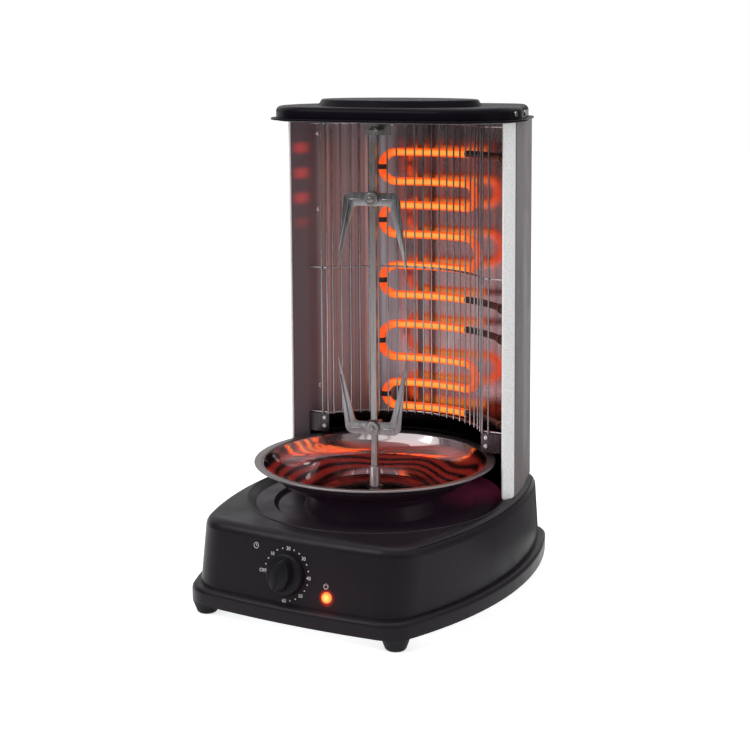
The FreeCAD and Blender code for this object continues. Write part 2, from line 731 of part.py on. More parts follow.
def lamp_lens():
    """Domed lens of the power lamp."""
    stem = rod(LAMP_R, V(0, 0, -BASE_WALL - LAMP_STEM), V(0, 0, LAMP_PROUD))
    rim = [edge for edge in stem.Edges if abs(edge.BoundBox.ZMin - LAMP_PROUD) < 0.01]
    return on_face(stem.makeFillet(LAMP_PROUD * 0.8, rim), LAMP_X, LAMP_HEIGHT)


def lamp_holder():
    """Push-on holder behind the lens, with the lamp's two tabs."""
    top = -BASE_WALL - LAMP_STEM
    low = top - LAMP_HOLDER_LENGTH
    body = rod(LAMP_R + LAMP_HOLDER_T, V(0, 0, low), V(0, 0, -BASE_WALL - SEAT_GAP))
    body = body.cut(rod(LAMP_R, V(0, 0, top), V(0, 0, 1.0)))
    thick, wide, long = LAMP_TAB
    tabs = []
    for x in (-LAMP_TAB_X, LAMP_TAB_X):
        tabs.append(Part.makeBox(thick, wide, long, V(x - thick / 2, -wide / 2, low - long)))
    return on_face(fuse([body] + tabs), LAMP_X, LAMP_HEIGHT)


# ------------------------------------------------------------------ drive
OUTPUT_R = GEAR_MODULE * OUTPUT_TEETH / 2
IDLER_R = GEAR_MODULE * IDLER_TEETH / 2
PINION_R = GEAR_MODULE * PINION_TEETH / 2
IDLER_X = OUTPUT_R + PINION_R
ROTOR_SPAN = IDLER_R + PINION_R
ROTOR_ANGLE = 143.0           # degrees, from the idler towards the rotor
ROTOR_X = IDLER_X + ROTOR_SPAN * math.cos(math.radians(-ROTOR_ANGLE))
ROTOR_Y = ROTOR_SPAN * math.sin(math.radians(-ROTOR_ANGLE))
MOTOR_FLOOR_Z = MOTOR_Z + MOTOR_WALL
IDLER_Z = MOTOR_FLOOR_Z + ROTOR_HEIGHT + IDLER_RISE
OUTPUT_Z = IDLER_Z + GEAR_FACE + GEAR_GAP


def gear(teeth, z, height, x=0.0, y=0.0, phase=0.0):
    """Spur gear with straight-flanked teeth; phase is the angle of one tooth in degrees."""
    pitch_r = GEAR_MODULE * teeth / 2
    tip_r = pitch_r + 0.6 * GEAR_MODULE
    root_r = pitch_r - 0.95 * GEAR_MODULE
    step = 360 / teeth
    points = []
    for i in range(teeth):
        middle = phase + i * step
        for radius, share in ((root_r, -0.27), (tip_r, -0.11), (tip_r, 0.11), (root_r, 0.27)):
            angle = math.radians(middle + share * step)
            points.append(V(x + radius * math.cos(angle), y + radius * math.sin(angle), z))
    wire = Part.makePolygon(points + points[:1])
    return slab(wire, height)


def motor_case():
    """Drawn steel can of the geared motor, with its fixed gear pins."""
    can = disc(MOTOR_R, MOTOR_Z, MOTOR_TOP_Z)
    can = can.makeFillet(2.0, edges_at(can, MOTOR_Z))
    can = can.cut(disc(MOTOR_R - MOTOR_WALL, MOTOR_FLOOR_Z, MOTOR_TOP_Z))
    idler_pin = disc(GEAR_PIN_R, MOTOR_FLOOR_Z, MOTOR_TOP_Z, IDLER_X, 0)
    rotor_pin = disc(GEAR_PIN_R, MOTOR_FLOOR_Z, OUTPUT_Z - 0.5, ROTOR_X, ROTOR_Y)
    return fuse([can, idler_pin, rotor_pin])


def motor_cover():
    """Top plate of the geared motor with its two fixing ears."""
    plate = disc(MOTOR_R, MOTOR_TOP_Z, MOTOR_PLATE_Z)
    ear = disc(SCREW_BOSS_R + 1.0, MOTOR_TOP_Z, MOTOR_PLATE_Z, MOTOR_EAR_X, 0)
    bar = box(-MOTOR_EAR_X, -SCREW_BOSS_R - 1.0, MOTOR_TOP_Z, MOTOR_EAR_X, SCREW_BOSS_R + 1.0, MOTOR_PLATE_Z)
    plate = fuse([plate, ear, mirrored(ear), bar])
    holes = [disc(SCREW_R, MOTOR_TOP_Z, MOTOR_PLATE_Z, sx * MOTOR_EAR_X, 0) for sx in (-1, 1)]
    holes.append(disc(OUTPUT_SHAFT_R + RUN_GAP, MOTOR_TOP_Z, MOTOR_PLATE_Z))
    return plate.cut(Part.makeCompound(holes))


def motor_coil():
    """Ring-shaped field coil round the rotor."""
    coil = disc(ROTOR_R + 5.0, MOTOR_FLOOR_Z, MOTOR_FLOOR_Z + ROTOR_HEIGHT, ROTOR_X, ROTOR_Y)
    inner = disc(ROTOR_R + 0.6, MOTOR_FLOOR_Z, MOTOR_FLOOR_Z + ROTOR_HEIGHT, ROTOR_X, ROTOR_Y)
    ring = coil.cut(inner).common(disc(MOTOR_R - MOTOR_WALL, MOTOR_Z, MOTOR_TOP_Z))
    room = disc(OUTPUT_SHAFT_R + 0.5, MOTOR_Z, MOTOR_TOP_Z)
    pin_room = disc(GEAR_PIN_R + 0.1, MOTOR_Z, MOTOR_TOP_Z, IDLER_X, 0)
    return ring.cut(room).cut(pin_room)


def motor_rotor():
    """Magnet rotor with its pinion."""
    magnet = disc(ROTOR_R, MOTOR_FLOOR_Z + 0.4, MOTOR_FLOOR_Z + ROTOR_HEIGHT, ROTOR_X, ROTOR_Y)
    toward_idler = math.degrees(math.atan2(-ROTOR_Y, IDLER_X - ROTOR_X))
    pinion_z = MOTOR_FLOOR_Z + ROTOR_HEIGHT
    pinion = gear(PINION_TEETH, pinion_z, OUTPUT_Z - 0.8 - pinion_z, ROTOR_X, ROTOR_Y, toward_idler)
    bore = disc(GEAR_PIN_R + RUN_GAP, MOTOR_Z, MOTOR_TOP_Z, ROTOR_X, ROTOR_Y)
    return fuse([magnet, pinion]).cut(bore)


def idler_gear():
    """Reduction gear: a wheel driven by the rotor and a pinion that drives the output."""
    toward_rotor = math.degrees(math.atan2(ROTOR_Y, ROTOR_X - IDLER_X))
    half_step = 180 / IDLER_TEETH
    wheel = gear(IDLER_TEETH, IDLER_Z, GEAR_FACE, IDLER_X, 0, toward_rotor + half_step)
    pinion_z = IDLER_Z + GEAR_FACE
    pinion = gear(PINION_TEETH, pinion_z, OUTPUT_Z + GEAR_FACE - pinion_z, IDLER_X, 0, 180)
    bore = disc(GEAR_PIN_R + RUN_GAP, MOTOR_Z, MOTOR_TOP_Z, IDLER_X, 0)
    return fuse([wheel, pinion]).cut(bore)


def output_gear():
    """Output wheel with the shaft that carries the coupler."""
    wheel = gear(OUTPUT_TEETH, OUTPUT_Z, GEAR_FACE, phase=180 / OUTPUT_TEETH)
    shaft = disc(OUTPUT_SHAFT_R, OUTPUT_Z, COUPLER_Z + SHAFT_GRIP)
    return fuse([wheel, shaft])


def motor_screws():
    """Two screws up through the motor's ears."""
    return [screw(V(sx * MOTOR_EAR_X, 0, MOTOR_TOP_Z), Z_AXIS, SCREW_LENGTH - 1.0) for sx in (-1, 1)]


def drive_bush():
    """Flanged bush in the plateau that carries the coupler."""
    sleeve = disc(BUSH_R_OUT, PLATEAU_UNDER_Z - 1.0, PLATEAU_Z)
    flange = disc(BUSH_FLANGE_R, PLATEAU_Z, PLATEAU_Z + BUSH_FLANGE_T)
    bore = disc(COUPLER_R + RUN_GAP, PLATEAU_UNDER_Z - 2.0, PLATEAU_Z + 3.0)
    return fuse([sleeve, flange]).cut(bore)


def square_bar(half, z0, z1):
    """An upright square bar on the axis, at the spit's rest angle."""
    return turned(box(-half, -half, z0, half, half, z1), SPIT_REST_TURN)


def drive_coupler():
    """Turned sleeve: pressed on the output shaft below, square socket for the spit above."""
    sleeve = disc(COUPLER_R, COUPLER_Z, COUPLER_TOP_Z)
    sleeve = sleeve.makeChamfer(0.5, edges_at(sleeve, COUPLER_TOP_Z))
    shaft_bore = disc(OUTPUT_SHAFT_R, COUPLER_Z, COUPLER_Z + SHAFT_GRIP)
    half = SPIT_SIDE / 2 + SOCKET_GAP
    socket = square_bar(half, COUPLER_TOP_Z - SOCKET_DEPTH, COUPLER_TOP_Z)
    return sleeve.cut(shaft_bore).cut(socket)


# ------------------------------------------------------------- spit, tray
def drip_tray():
    """Round dish with a flat rim, a flat floor and a hole for the coupler."""
    floor, rim = TRAY_FLOOR_Z, TRAY_RIM_Z
    inner_rim = TRAY_R - TRAY_RIM_WIDTH
    wall_mid_r = inner_rim - TRAY_WALL_OUT
    wall_mid_z = floor + TRAY_DEPTH * 0.45
    outline = [
        V(TRAY_HOLE_R, 0, floor),
        V(TRAY_FLOOR_R, 0, floor),
        V(wall_mid_r, 0, wall_mid_z),
        V(inner_rim, 0, rim - TRAY_T),
        V(TRAY_R, 0, rim),
    ]
    radii = [0, *TRAY_BEND_RADII, 0]
    under = path_edges(outline, radii, False)
    lifted = [point + V(0, 0, TRAY_T) for point in outline]
    over = path_edges(lifted, radii, False)
    ends = [Part.LineSegment(outline[0], lifted[0]).toShape(), Part.LineSegment(outline[-1], lifted[-1]).toShape()]
    wire = Part.Wire(Part.__sortEdges__(under + over + ends))
    return Part.Face(wire).revolve(ORIGIN, Z_AXIS, 360)


def spit_shaft():
    """Square bar with a round tip above its shoulder."""
    half = SPIT_SIDE / 2
    bar = box(-half, -half, SPIT_Z, half, half, SPIT_SHOULDER_Z)
    uprights = [edge for edge in bar.Edges if abs(edge.tangentAt(edge.FirstParameter).z) > 0.9]
    bar = bar.makeFillet(0.6, uprights)
    tip = disc(SPIT_TIP_R, SPIT_SHOULDER_Z, SPIT_SHOULDER_Z + SPIT_TIP_LENGTH)
    tip = tip.makeFillet(SPIT_TIP_R * 0.7, edges_at(tip, SPIT_SHOULDER_Z + SPIT_TIP_LENGTH))
    return turned(fuse([bar, tip]), SPIT_REST_TURN)


def fork(up):
    """Stamped two-pronged fork on a hub that slides on the bar; prongs point up or down."""
    front = -FORK_HUB / 2
    half_h = FORK_BAR_H / 2
    root = FORK_HALF_SPAN
    tip_x = root + FORK_FLARE
    tip_z = half_h + FORK_PRONG_LENGTH
    outline = [
        V(0, front, -half_h),
        V(root, front, -half_h),
        V(tip_x, front, tip_z),
        V(root - FORK_PRONG_W, front, half_h),
        V(0, front, half_h),
    ]
    edges = path_edges(outline, [0, *FORK_BEND_RADII, 0], False)
    edges.append(Part.LineSegment(outline[-1], outline[0]).toShape())
    half = Part.Face(Part.Wire(Part.__sortEdges__(edges))).extrude(V(0, FORK_T, 0))
    hub = box(-FORK_HUB / 2, front, -half_h, FORK_HUB / 2, FORK_HUB / 2, half_h)
    uprights = [edge for edge in hub.Edges if abs(edge.tangentAt(edge.FirstParameter).z) > 0.9]
    hub = hub.makeFillet(1.0, uprights)
    body = fuse([half, mirrored(half), hub])
    bore = SPIT_SIDE / 2 + FORK_SLIDE_GAP
    body = body.cut(box(-bore, -bore, -half_h - 1, bore, bore, half_h + 1))
    body = body.cut(rod(THUMB_SHANK_R + RUN_GAP, V(0, front - 1, 0), V(0, 0, 0)))
    if not up:
        body = body.mirror(ORIGIN, Z_AXIS)
    return body


def on_spit(shape, z):
    """A piece set on the spit at a height, at the spit's rest angle."""
    raised = shape.copy()
    raised.translate(V(0, 0, z))
    return turned(raised, SPIT_REST_TURN)


def thumb_screw():
    """Thumb screw through the front of a fork's hub, its tip just off the bar."""
    front = -FORK_HUB / 2
    gap = THUMB_GAP
    shank = rod(THUMB_SHANK_R, V(0, front - gap, 0), V(0, -SPIT_SIDE / 2 - 0.1, 0))
    head = rod(THUMB_R, V(0, front - gap - THUMB_T, 0), V(0, front - gap, 0))
    head = head.makeFillet(0.8, head.Edges)
    boss = rod(THUMB_BOSS_R, V(0, front - gap - THUMB_T - THUMB_BOSS_H, 0), V(0, front - gap - 0.5, 0))
    tip = [edge for edge in boss.Edges if abs(edge.BoundBox.YMax - (front - gap - THUMB_T - THUMB_BOSS_H)) < 0.01]
    boss = boss.makeFillet(1.2, tip)
    return fuse([shank, head, boss])


UPPER_FORK_Z = SPIT_SHOULDER_Z - UPPER_FORK_DROP
LOWER_FORK_Z = COUPLER_TOP_Z + LOWER_FORK_RISE


# ---------------------------------------------------------------- cabinet
def strip_way():
    """Unit vector along the right edge strip, from front to rear."""
    return (V(*CABINET_SIDE, 0) - V(*STRIP_FRONT, 0)).normalize()


def edge_strip():
    """Right edge strip: a flat face with a rounded front bead."""
    front, rear = V(*STRIP_FRONT, DECK_Z), V(*CABINET_SIDE, DECK_Z)
    inward = V(-strip_way().y, strip_way().x, 0)
    pairs = [front, rear, rear + inward * STRIP_T, front + inward * STRIP_T]
    strip = slab(Part.makePolygon(pairs + pairs[:1]), CABINET_HEIGHT)
    bead = [edge for edge in strip.Edges
            if edge.BoundBox.ZLength > CABINET_HEIGHT / 2 and edge.BoundBox.YMax < STRIP_FRONT[1] + STRIP_T]
    return strip.makeFillet(STRIP_T * 0.4, bead)


def side_panel():
    """Right side panel: a flange under the strip, the bowed side and the rear return."""
    front, rear = V(*STRIP_FRONT, 0), V(*CABINET_SIDE, 0)
    inward = V(-strip_way().y, strip_way().x, 0) * (STRIP_T + SHEET_GAP)
    start = front + strip_way() * PANEL_SETBACK + inward
    step_in, step_along, step_back = PANEL_STEP
    joggle = rear + inward + strip_way() * step_along
    pairs = [
        (start.x, start.y),
        (joggle.x, joggle.y),
        (CABINET_SIDE[0] - step_in, CABINET_SIDE[1] + step_back),
        PANEL_MID,
        PANEL_REAR,
        (PANEL_REAR[0] - PANEL_REAR_TAPER, CABINET_REAR_Y),
        (REAR_RETURN_X, CABINET_REAR_Y),
    ]
    radii = [0, 0, 0, *PANEL_BOW_RADII, REAR_BEND_R, 0]
    panel = bent_sheet(pairs, radii, PANEL_T, DECK_Z, TOP_Z)
    holes = [rod(SCREW_R, V(x, CABINET_REAR_Y + 1, z), V(x, CABINET_REAR_Y - 2, z)) for x, z in rear_screw_places()]
    return panel.cut(Part.makeCompound(holes))


def reflector():
    """Polished sheet behind the heater: one rear wall with a wing on each side."""
    start = wing_start()
    right = [(start.x, start.y), WING_BEND, REFLECTOR_CORNER]
    left = [(-x, y) for x, y in reversed(right)]
    radii = [0, WING_BEND_R, REFLECTOR_BEND_R, REFLECTOR_BEND_R, WING_BEND_R, 0]
    sheet = bent_sheet(right + left, radii, REFLECTOR_T, DECK_Z, TOP_Z)
    hole_r = INSULATOR_PIN_R + INSULATOR_HOLE_GAP
    holes = [rod(hole_r, *insulator_ends(z, INSULATOR_TAIL + 2.0)) for z in cold_end_heights()]
    holes += [rod(SCREW_R, place, place + way * 3.0) for place, way in wing_screw_lines()]
    return sheet.cut(Part.makeCompound(holes))


def rear_cover():
    """Flat rear cover with rows of louvre slots."""
    half = REAR_RETURN_X + REAR_COVER_LAP
    cover = box(-half, CABINET_REAR_Y, DECK_Z, half, CABINET_REAR_Y + REAR_COVER_T, TOP_Z)
    pitch = CABINET_HEIGHT / 2 / LOUVRE_COUNT
    slots = []
    for i in range(LOUVRE_COUNT):
        z = DECK_Z + CABINET_HEIGHT * 0.3 + i * pitch
        for sx in (-1, 1):
            middle = sx * half / 2
            reach = min(LOUVRE_LENGTH, half) / 2 - REAR_COVER_LAP / 2
            slots.append(box(middle - reach, CABINET_REAR_Y, z, middle + reach,
                             CABINET_REAR_Y + REAR_COVER_T, z + LOUVRE_HEIGHT))
    for x, z in rear_screw_places():
        slots.append(rod(SCREW_R, V(x, CABINET_REAR_Y + 2, z), V(x, CABINET_REAR_Y - 2, z)))
    return cover.cut(Part.makeCompound(slots))


def rear_screw_places():
    """Places of the rear cover's screws."""
    x = REAR_RETURN_X + REAR_COVER_LAP / 2
    low, high = DECK_Z + REAR_SCREW_RISE, TOP_Z - REAR_SCREW_DROP
    return [(sx * x, z) for sx in (-1, 1) for z in (low, (low + high) / 2, high)]


def rear_screws():
    """Screws through the rear cover into the side panels' returns."""
    return [screw(V(x, CABINET_REAR_Y + REAR_COVER_T, z), V(0, -1, 0), 5.0) for x, z in rear_screw_places()]


def wing_start():
    """Plan place of the front edge of the reflector's right wing, on its outer face."""
    inward = V(-strip_way().y, strip_way().x, 0) * (STRIP_T + PANEL_T + SHEET_GAP)
    return V(*STRIP_FRONT, 0) + strip_way() * PANEL_SETBACK + inward


def wing_screw_lines():
    """Place of each wing screw's head and the way its shank runs."""
    start = wing_start()
    end = V(*WING_BEND, 0)
    way = (end - start).normalize()
    inner = V(-way.y, way.x, 0)
    place = start + (end - start) * WING_SCREW_SHARE + inner * REFLECTOR_T
    lines = []
    for z in [DECK_Z + WING_SCREW_RISE] + [TOP_Z - drop for drop in WING_SCREW_DROPS]:
        for sx in (-1, 1):
            lines.append((V(sx * place.x, place.y, z), V(-sx * inner.x, -inner.y, 0)))
    return lines


def wing_screws():
    """Screws through the reflector's wings, three a side."""
    return [screw(place, way, 4.0) for place, way in wing_screw_lines()]


def cabinet_inside(gap):
    """The space inside the reflector, less a gap, from the deck to the top plate."""
    start = wing_start()
    right = [(start.x, start.y), WING_BEND, REFLECTOR_CORNER]
    left = [(-x, y) for x, y in reversed(right)]
    inner = shifted_path(plan_points(right + left, DECK_Z), REFLECTOR_T + gap)
    return slab(Part.makePolygon(inner + inner[:1]), CABINET_HEIGHT)


def collar_profile():
    """The collar's wall as (radius, z) points: upright, then leaning in to the guard."""
    lean_z = GUARD_Z - COLLAR_LIP
    return [
        (COLLAR_FOOT_R, DECK_Z),
        (COLLAR_FOOT_R, lean_z),
        (GUARD_R, GUARD_Z),
        (GUARD_R + COLLAR_T * 1.4, GUARD_Z),
        (COLLAR_FOOT_R + COLLAR_T, lean_z + COLLAR_T * 0.4),
        (COLLAR_FOOT_R + COLLAR_T, DECK_Z),
    ]


def guard_corner():
    """Plan place of the upright where the guard's arc meets its flat flange, on the right."""
    angle = math.radians(GUARD_CORNER_ANGLE)
    depth = WIRE_R + RING_WIRE_R
    ring_r = GUARD_R + depth
    return V(ring_r * math.sin(angle), ring_r * math.cos(angle) - depth, 0)


def collar():
    """Polished wall behind the tray that carries the wire guard."""
    ring = revolved(collar_profile())
    corner = guard_corner()
    y = corner.y - COLLAR_T / 2
    reach = wing_reach(corner.y)
    behind = box(-reach, y, DECK_Z, reach, REFLECTOR_CORNER[1], GUARD_Z)
    wall = ring.common(behind).common(cabinet_inside(WING_GAP))
    lean_z = GUARD_Z - COLLAR_LIP
    lap = COLLAR_T * 1.25
    wing = box(corner.x - lap, y, lean_z + lap, reach, y + COLLAR_T, GUARD_Z)
    pieces = [wall, wing, mirrored(wing)]
    low_x = math.sqrt(COLLAR_FOOT_R ** 2 - corner.y ** 2)
    if reach > low_x:
        low = box(low_x, y, DECK_Z, reach, y + COLLAR_T, lean_z + lap)
        pieces += [low, mirrored(low)]
    holes = [rod(SCREW_R, place, place + way * 4.0) for place, way in collar_screw_lines()]
    return fuse(pieces).cut(Part.makeCompound(holes))


def collar_screw_lines():
    """Place of each collar screw's head and the way its shank runs."""
    corner = guard_corner()
    lines = []
    for sx in (-1, 1):
        for drop in COLLAR_SCREW_DROPS:
            place = V(sx * (corner.x + COLLAR_SCREW_OUT), corner.y - COLLAR_T / 2, GUARD_Z - drop)
            lines.append((place, V(0, 1, 0)))
    return lines


def collar_screws():
    """Screws through the collar's flat ends."""
    return [screw(place, way, 4.0, 2.2, 1.2) for place, way in collar_screw_lines()]


def wing_reach(y):
    """X of the reflector wing's inner face at a distance from the axis, less a small gap."""
    start = wing_start()
    share = (y - start.y) / (WING_BEND[1] - start.y)
    return start.x + (WING_BEND[0] - start.x) * share - REFLECTOR_T - WING_GAP


def guard_wires():
    """Upright wires of the guard, round the arc and one on each flange."""
    z0, z1 = GUARD_Z, TOP_Z
    wires = []
    first = -(WIRE_COUNT - 1) / 2
    for i in range(WIRE_COUNT):
        angle = math.radians((first + i) * WIRE_ANGLE)
        wires.append(disc(WIRE_R, z0, z1, GUARD_R * math.sin(angle), GUARD_R * math.cos(angle)))
    corner = guard_corner()
    for x in (corner.x, FLANGE_WIRE_X):
        wires.append(disc(WIRE_R, z0, z1, x, corner.y))
        wires.append(disc(WIRE_R, z0, z1, -x, corner.y))
    return wires


def guard_rings():
    """Three bent wires behind the uprights."""
    rings = []
    depth = WIRE_R + RING_WIRE_R
    corner = guard_corner()
    for z in (GUARD_Z + RING_WIRE_R, DECK_Z + GUARD_MID_HEIGHT, TOP_Z - GUARD_TOP_GAP):
        radius = GUARD_R + depth
        angle = math.radians(GUARD_CORNER_ANGLE)
        knee = V(radius * math.sin(angle), radius * math.cos(angle), z)
        end = V(wing_reach(corner.y + depth), knee.y, z)
        arc = Part.Arc(V(-knee.x, knee.y, z), V(0, radius, z), knee).toShape()
        bar = rod(RING_WIRE_R, knee, end)
        turn = Part.Wire([arc])
        section = Part.Wire([Part.makeCircle(RING_WIRE_R, turn.Vertexes[0].Point, arc.tangentAt(arc.FirstParameter))])
        bend = turn.makePipeShell([section], True, False)
        ball = Part.makeSphere(RING_WIRE_R, knee)
        rings.append(fuse([bend, bar, mirrored(bar), ball, mirrored(ball)]))
    return rings


# ----------------------------------------------------------------- heater
def run_heights():
    """Heights of the heater's runs, from the top, as one list for each element."""
    upper = [TOP_Z - HEATER_TOP_GAP]
    for spacing in UPPER_SPACING:
        upper.append(upper[-1] - spacing)
    lower = [upper[-1] - ELEMENT_GAP]
    for spacing in LOWER_SPACING:
        lower.append(lower[-1] - spacing)
    return upper, lower


def on_arc(degrees, z, radius=HEATER_R):
    """A point on the heater's arc, measured from the rear towards +X."""
    angle = math.radians(degrees)
    return V(radius * math.sin(angle), radius * math.cos(angle), z)


def arc_tube(tube_r, z, start, end):
    """Tube along the heater's arc between two angles."""
    spine = Part.Arc(on_arc(start, z), on_arc((start + end) / 2, z), on_arc(end, z)).toShape()
    wire = Part.Wire([spine])
    ring = Part.Wire([Part.makeCircle(tube_r, on_arc(start, z), spine.tangentAt(spine.FirstParameter))])
    return wire.makePipeShell([ring], True, False)


def u_bend(side, z_top, z_low, tube_r=HEATER_TUBE_R):
    """Half-circle bend that joins two runs at one end; side is -1 left, +1 right."""
    degrees = side * HEATER_HALF_ANGLE
    top, low = on_arc(degrees, z_top), on_arc(degrees, z_low)
    middle, outward = bend_frame(side, z_top, z_low)
    spine = Part.Wire([Part.Arc(top, middle, low).toShape()])
    ring = Part.Wire([Part.makeCircle(tube_r, top, outward)])
    return spine.makePipeShell([ring], True, False)


def heater_element(heights, first_side):
    """One bent tube: its runs and the bends between them."""
    pieces = [arc_tube(HEATER_TUBE_R, z, -HEATER_HALF_ANGLE, HEATER_HALF_ANGLE) for z in heights]
    side = first_side
    for top, low in zip(heights, heights[1:]):
        pieces.append(u_bend(side, top, low))
        side = -side
    return fuse(pieces)


def cold_end_heights():
    """The runs whose right ends leave through the reflector."""
    upper, lower = run_heights()
    return [upper[0], upper[-1], lower[0], lower[-1]]


def cold_ends():
    """Unheated ends of the two elements, out to the insulators."""
    return [arc_tube(COLD_END_R, z, HEATER_HALF_ANGLE, COLD_END_ANGLE) for z in cold_end_heights()]


def insulator_ends(z, length):
    """The two ends of an insulator's axis, along the arc's tangent at the cold end's tip."""
    tip = on_arc(COLD_END_ANGLE, z)
    angle = math.radians(COLD_END_ANGLE)
    way = V(math.cos(angle), -math.sin(angle), 0)
    return tip, tip + way * length


def insulators():
    """Ceramic bushes that carry the cold ends in the reflector."""
    pieces = []
    for z in cold_end_heights():
        tip, end = insulator_ends(z, INSULATOR_TAIL)
        way = (end - tip).normalize()
        head = rod(INSULATOR_R, tip - way * INSULATOR_HEAD, tip)
        head = head.cut(arc_tube(COLD_END_R, z, HEATER_HALF_ANGLE, COLD_END_ANGLE))
        pieces.append(fuse([head, rod(INSULATOR_PIN_R, tip, end)]))
    return pieces


def heater_strap():
    """Upright strap behind the elements with a foot on the reflector at each end."""
    y0 = HEATER_R + HEATER_TUBE_R + STRAP_GAP
    upper, lower = run_heights()
    z0, z1 = lower[-1] - STRAP_BELOW, upper[0] + STRAP_ABOVE
    x0, x1 = STRAP_X - STRAP_W / 2, STRAP_X + STRAP_W / 2
    wall_y = REFLECTOR_CORNER[1] - REFLECTOR_T
    pieces = [box(x0, y0, z0, x1, y0 + STRAP_T, z1)]
    for z in (z0, z1 - STRAP_T):
        pieces.append(box(x0, y0, z, x1, wall_y, z + STRAP_T))
    return fuse(pieces)


def bend_frame(side, z_top, z_low):
    """Outermost point of a bend's axis and the way out of it; side is -1 left, +1 right."""
    degrees = side * HEATER_HALF_ANGLE
    angle = math.radians(degrees)
    outward = V(math.cos(angle), -math.sin(angle), 0) * side
    middle = (on_arc(degrees, z_top) + on_arc(degrees, z_low)) * 0.5
    return middle + outward * ((z_top - z_low) / 2), outward


def clip(z_top, z_low):
    """Band round a left bend of the heater, at its outermost place."""
    inner_r = HEATER_TUBE_R + CLIP_GAP
    middle, _ = bend_frame(-1, z_top, z_low)
    low, high = middle - Z_AXIS * (CLIP_W / 2), middle + Z_AXIS * (CLIP_W / 2)
    band = rod(inner_r + CLIP_T, low, high)
    return band.cut(u_bend(-1, z_top, z_low, inner_r))


def heater_clips():
    """Bands round the left bends of both elements."""
    pieces = []
    for heights in run_heights():
        for top, low in zip(heights[::2], heights[1::2]):
            pieces.append(clip(top, low))
    return pieces


# -------------------------------------------------------------------- top
def cap_outline(z, inset=0.0):
    """Plan of the cap: bowed front, wide round front corners, narrower rear."""
    right = [CAP_CORNER, CAP_SIDE, CAP_REAR]
    left = [(-x, y) for x, y in reversed(right)]
    points = plan_points([(0, CAP_FRONT_Y)] + right + left, z)
    radii = [CAP_FRONT_R, CAP_CORNER_R, CAP_SIDE_R, CAP_REAR_R, CAP_REAR_R, CAP_SIDE_R, CAP_CORNER_R]
    if inset:
        loop = points + points[:1] + points[1:2]
        moved = shifted_path(loop, inset)
        points = moved[1:-1]
        points = [points[-1]] + points[:-1]
        radii = [radii[0] - inset] + [radius - inset for radius in radii[1:]]
    return Part.Wire(Part.__sortEdges__(path_edges(points, radii, True)))


def cap():
    """Hollow moulded cap with an outward lip and an oval crown."""
    lip = slab(cap_outline(CAP_Z), CAP_LIP_T)
    lip = lip.makeFillet(CAP_LIP_T * 0.4, edges_at(lip, CAP_Z + CAP_LIP_T))
    body = slab(cap_outline(CAP_Z, CAP_LIP), CAP_HEIGHT)
    body = body.makeFillet(CAP_ROUND, edges_at(body, CAP_TOP_Z))
    crown_low = oval(CROWN_HALF_X, CROWN_HALF_Y, CAP_TOP_Z - 1.0)
    crown_high = oval(CROWN_HALF_X - CROWN_SLOPE, CROWN_HALF_Y - CROWN_SLOPE, CAP_TOP_Z + CROWN_RISE)
    crown = Part.makeLoft([crown_low, crown_high], True, True)
    crown = crown.makeFillet(1.6, edges_at(crown, CAP_TOP_Z + CROWN_RISE))
    inner = slab(cap_outline(CAP_Z, CAP_LIP + CAP_WALL), CAP_HEIGHT - CAP_WALL)
    inner = inner.makeFillet(CAP_ROUND - CAP_WALL, edges_at(inner, CAP_TOP_Z - CAP_WALL))
    shell = fuse([lip, body, crown]).cut(inner)
    return shell.cut(Part.makeCompound(cap_screw_holes()))


def oval(half_x, half_y, z):
    """Ellipse in plan about the crown's centre."""
    curve = Part.Ellipse(V(0, CROWN_Y, z), half_x, half_y)
    return Part.Wire([curve.toShape()])


def cap_wall_point(y):
    """Place on the cap's right outer wall at a distance from the axis, and the way out of it."""
    low, high = (CAP_CORNER, CAP_SIDE) if y < CAP_SIDE[1] else (CAP_SIDE, CAP_REAR)
    start, end = V(*low, 0), V(*high, 0)
    way = (end - start).normalize()
    outward = V(way.y, -way.x, 0)
    share = (y - start.y) / (end.y - start.y)
    return start + (end - start) * share - outward * CAP_LIP, outward


def cap_screw_lines():
    """Head place of each cap screw on the wall and the way its shank runs."""
    lift = V(0, 0, CAP_Z + CAP_HEIGHT / 2)
    lines = []
    for y in CAP_SCREW_YS:
        place, outward = cap_wall_point(y)
        for sx in (-1, 1):
            lines.append((V(sx * place.x, place.y, 0) + lift, V(-sx * outward.x, -outward.y, 0)))
    return lines


def cap_screw_holes():
    """Clear bores along the cap screws."""
    return [rod(SCREW_R, place - way, place + way * (CAP_WALL + CAP_TAB_T + 4.0)) for place, way in cap_screw_lines()]


def cap_screws():
    """Screws through the cap's wall into the top plate's tabs."""
    return [screw(place, way, CAP_WALL + CAP_TAB_T + 2.0, 2.6, 1.4) for place, way in cap_screw_lines()]


def top_plate():
    """Sheet that closes the cabinet and carries the cap and the spit bearing."""
    pieces = [slab(cap_outline(TOP_Z, CAP_LIP + 1.5), TOP_PLATE_T)]
    height = CAP_HEIGHT - CAP_ROUND + TOP_PLATE_T
    for place, way in cap_screw_lines():
        tab = Part.makeBox(CAP_TAB_W, CAP_TAB_T, height, V(-CAP_TAB_W / 2, CAP_WALL + TAB_GAP, 0))
        angle = math.degrees(math.atan2(way.y, way.x)) - 90
        turn = FreeCAD.Rotation(Z_AXIS, angle)
        tab.Placement = FreeCAD.Placement(V(place.x, place.y, TOP_Z), turn)
        pieces.append(tab)
    holes = [disc(TIP_HOLE_R, TOP_Z, CAP_Z)] + cap_screw_holes()
    for x in bracket_screw_xs():
        holes.append(disc(SCREW_R, TOP_Z, CAP_Z, x, BRACKET_Y + BRACKET_FOOT * 0.6))
    return fuse(pieces).cut(Part.makeCompound(holes))


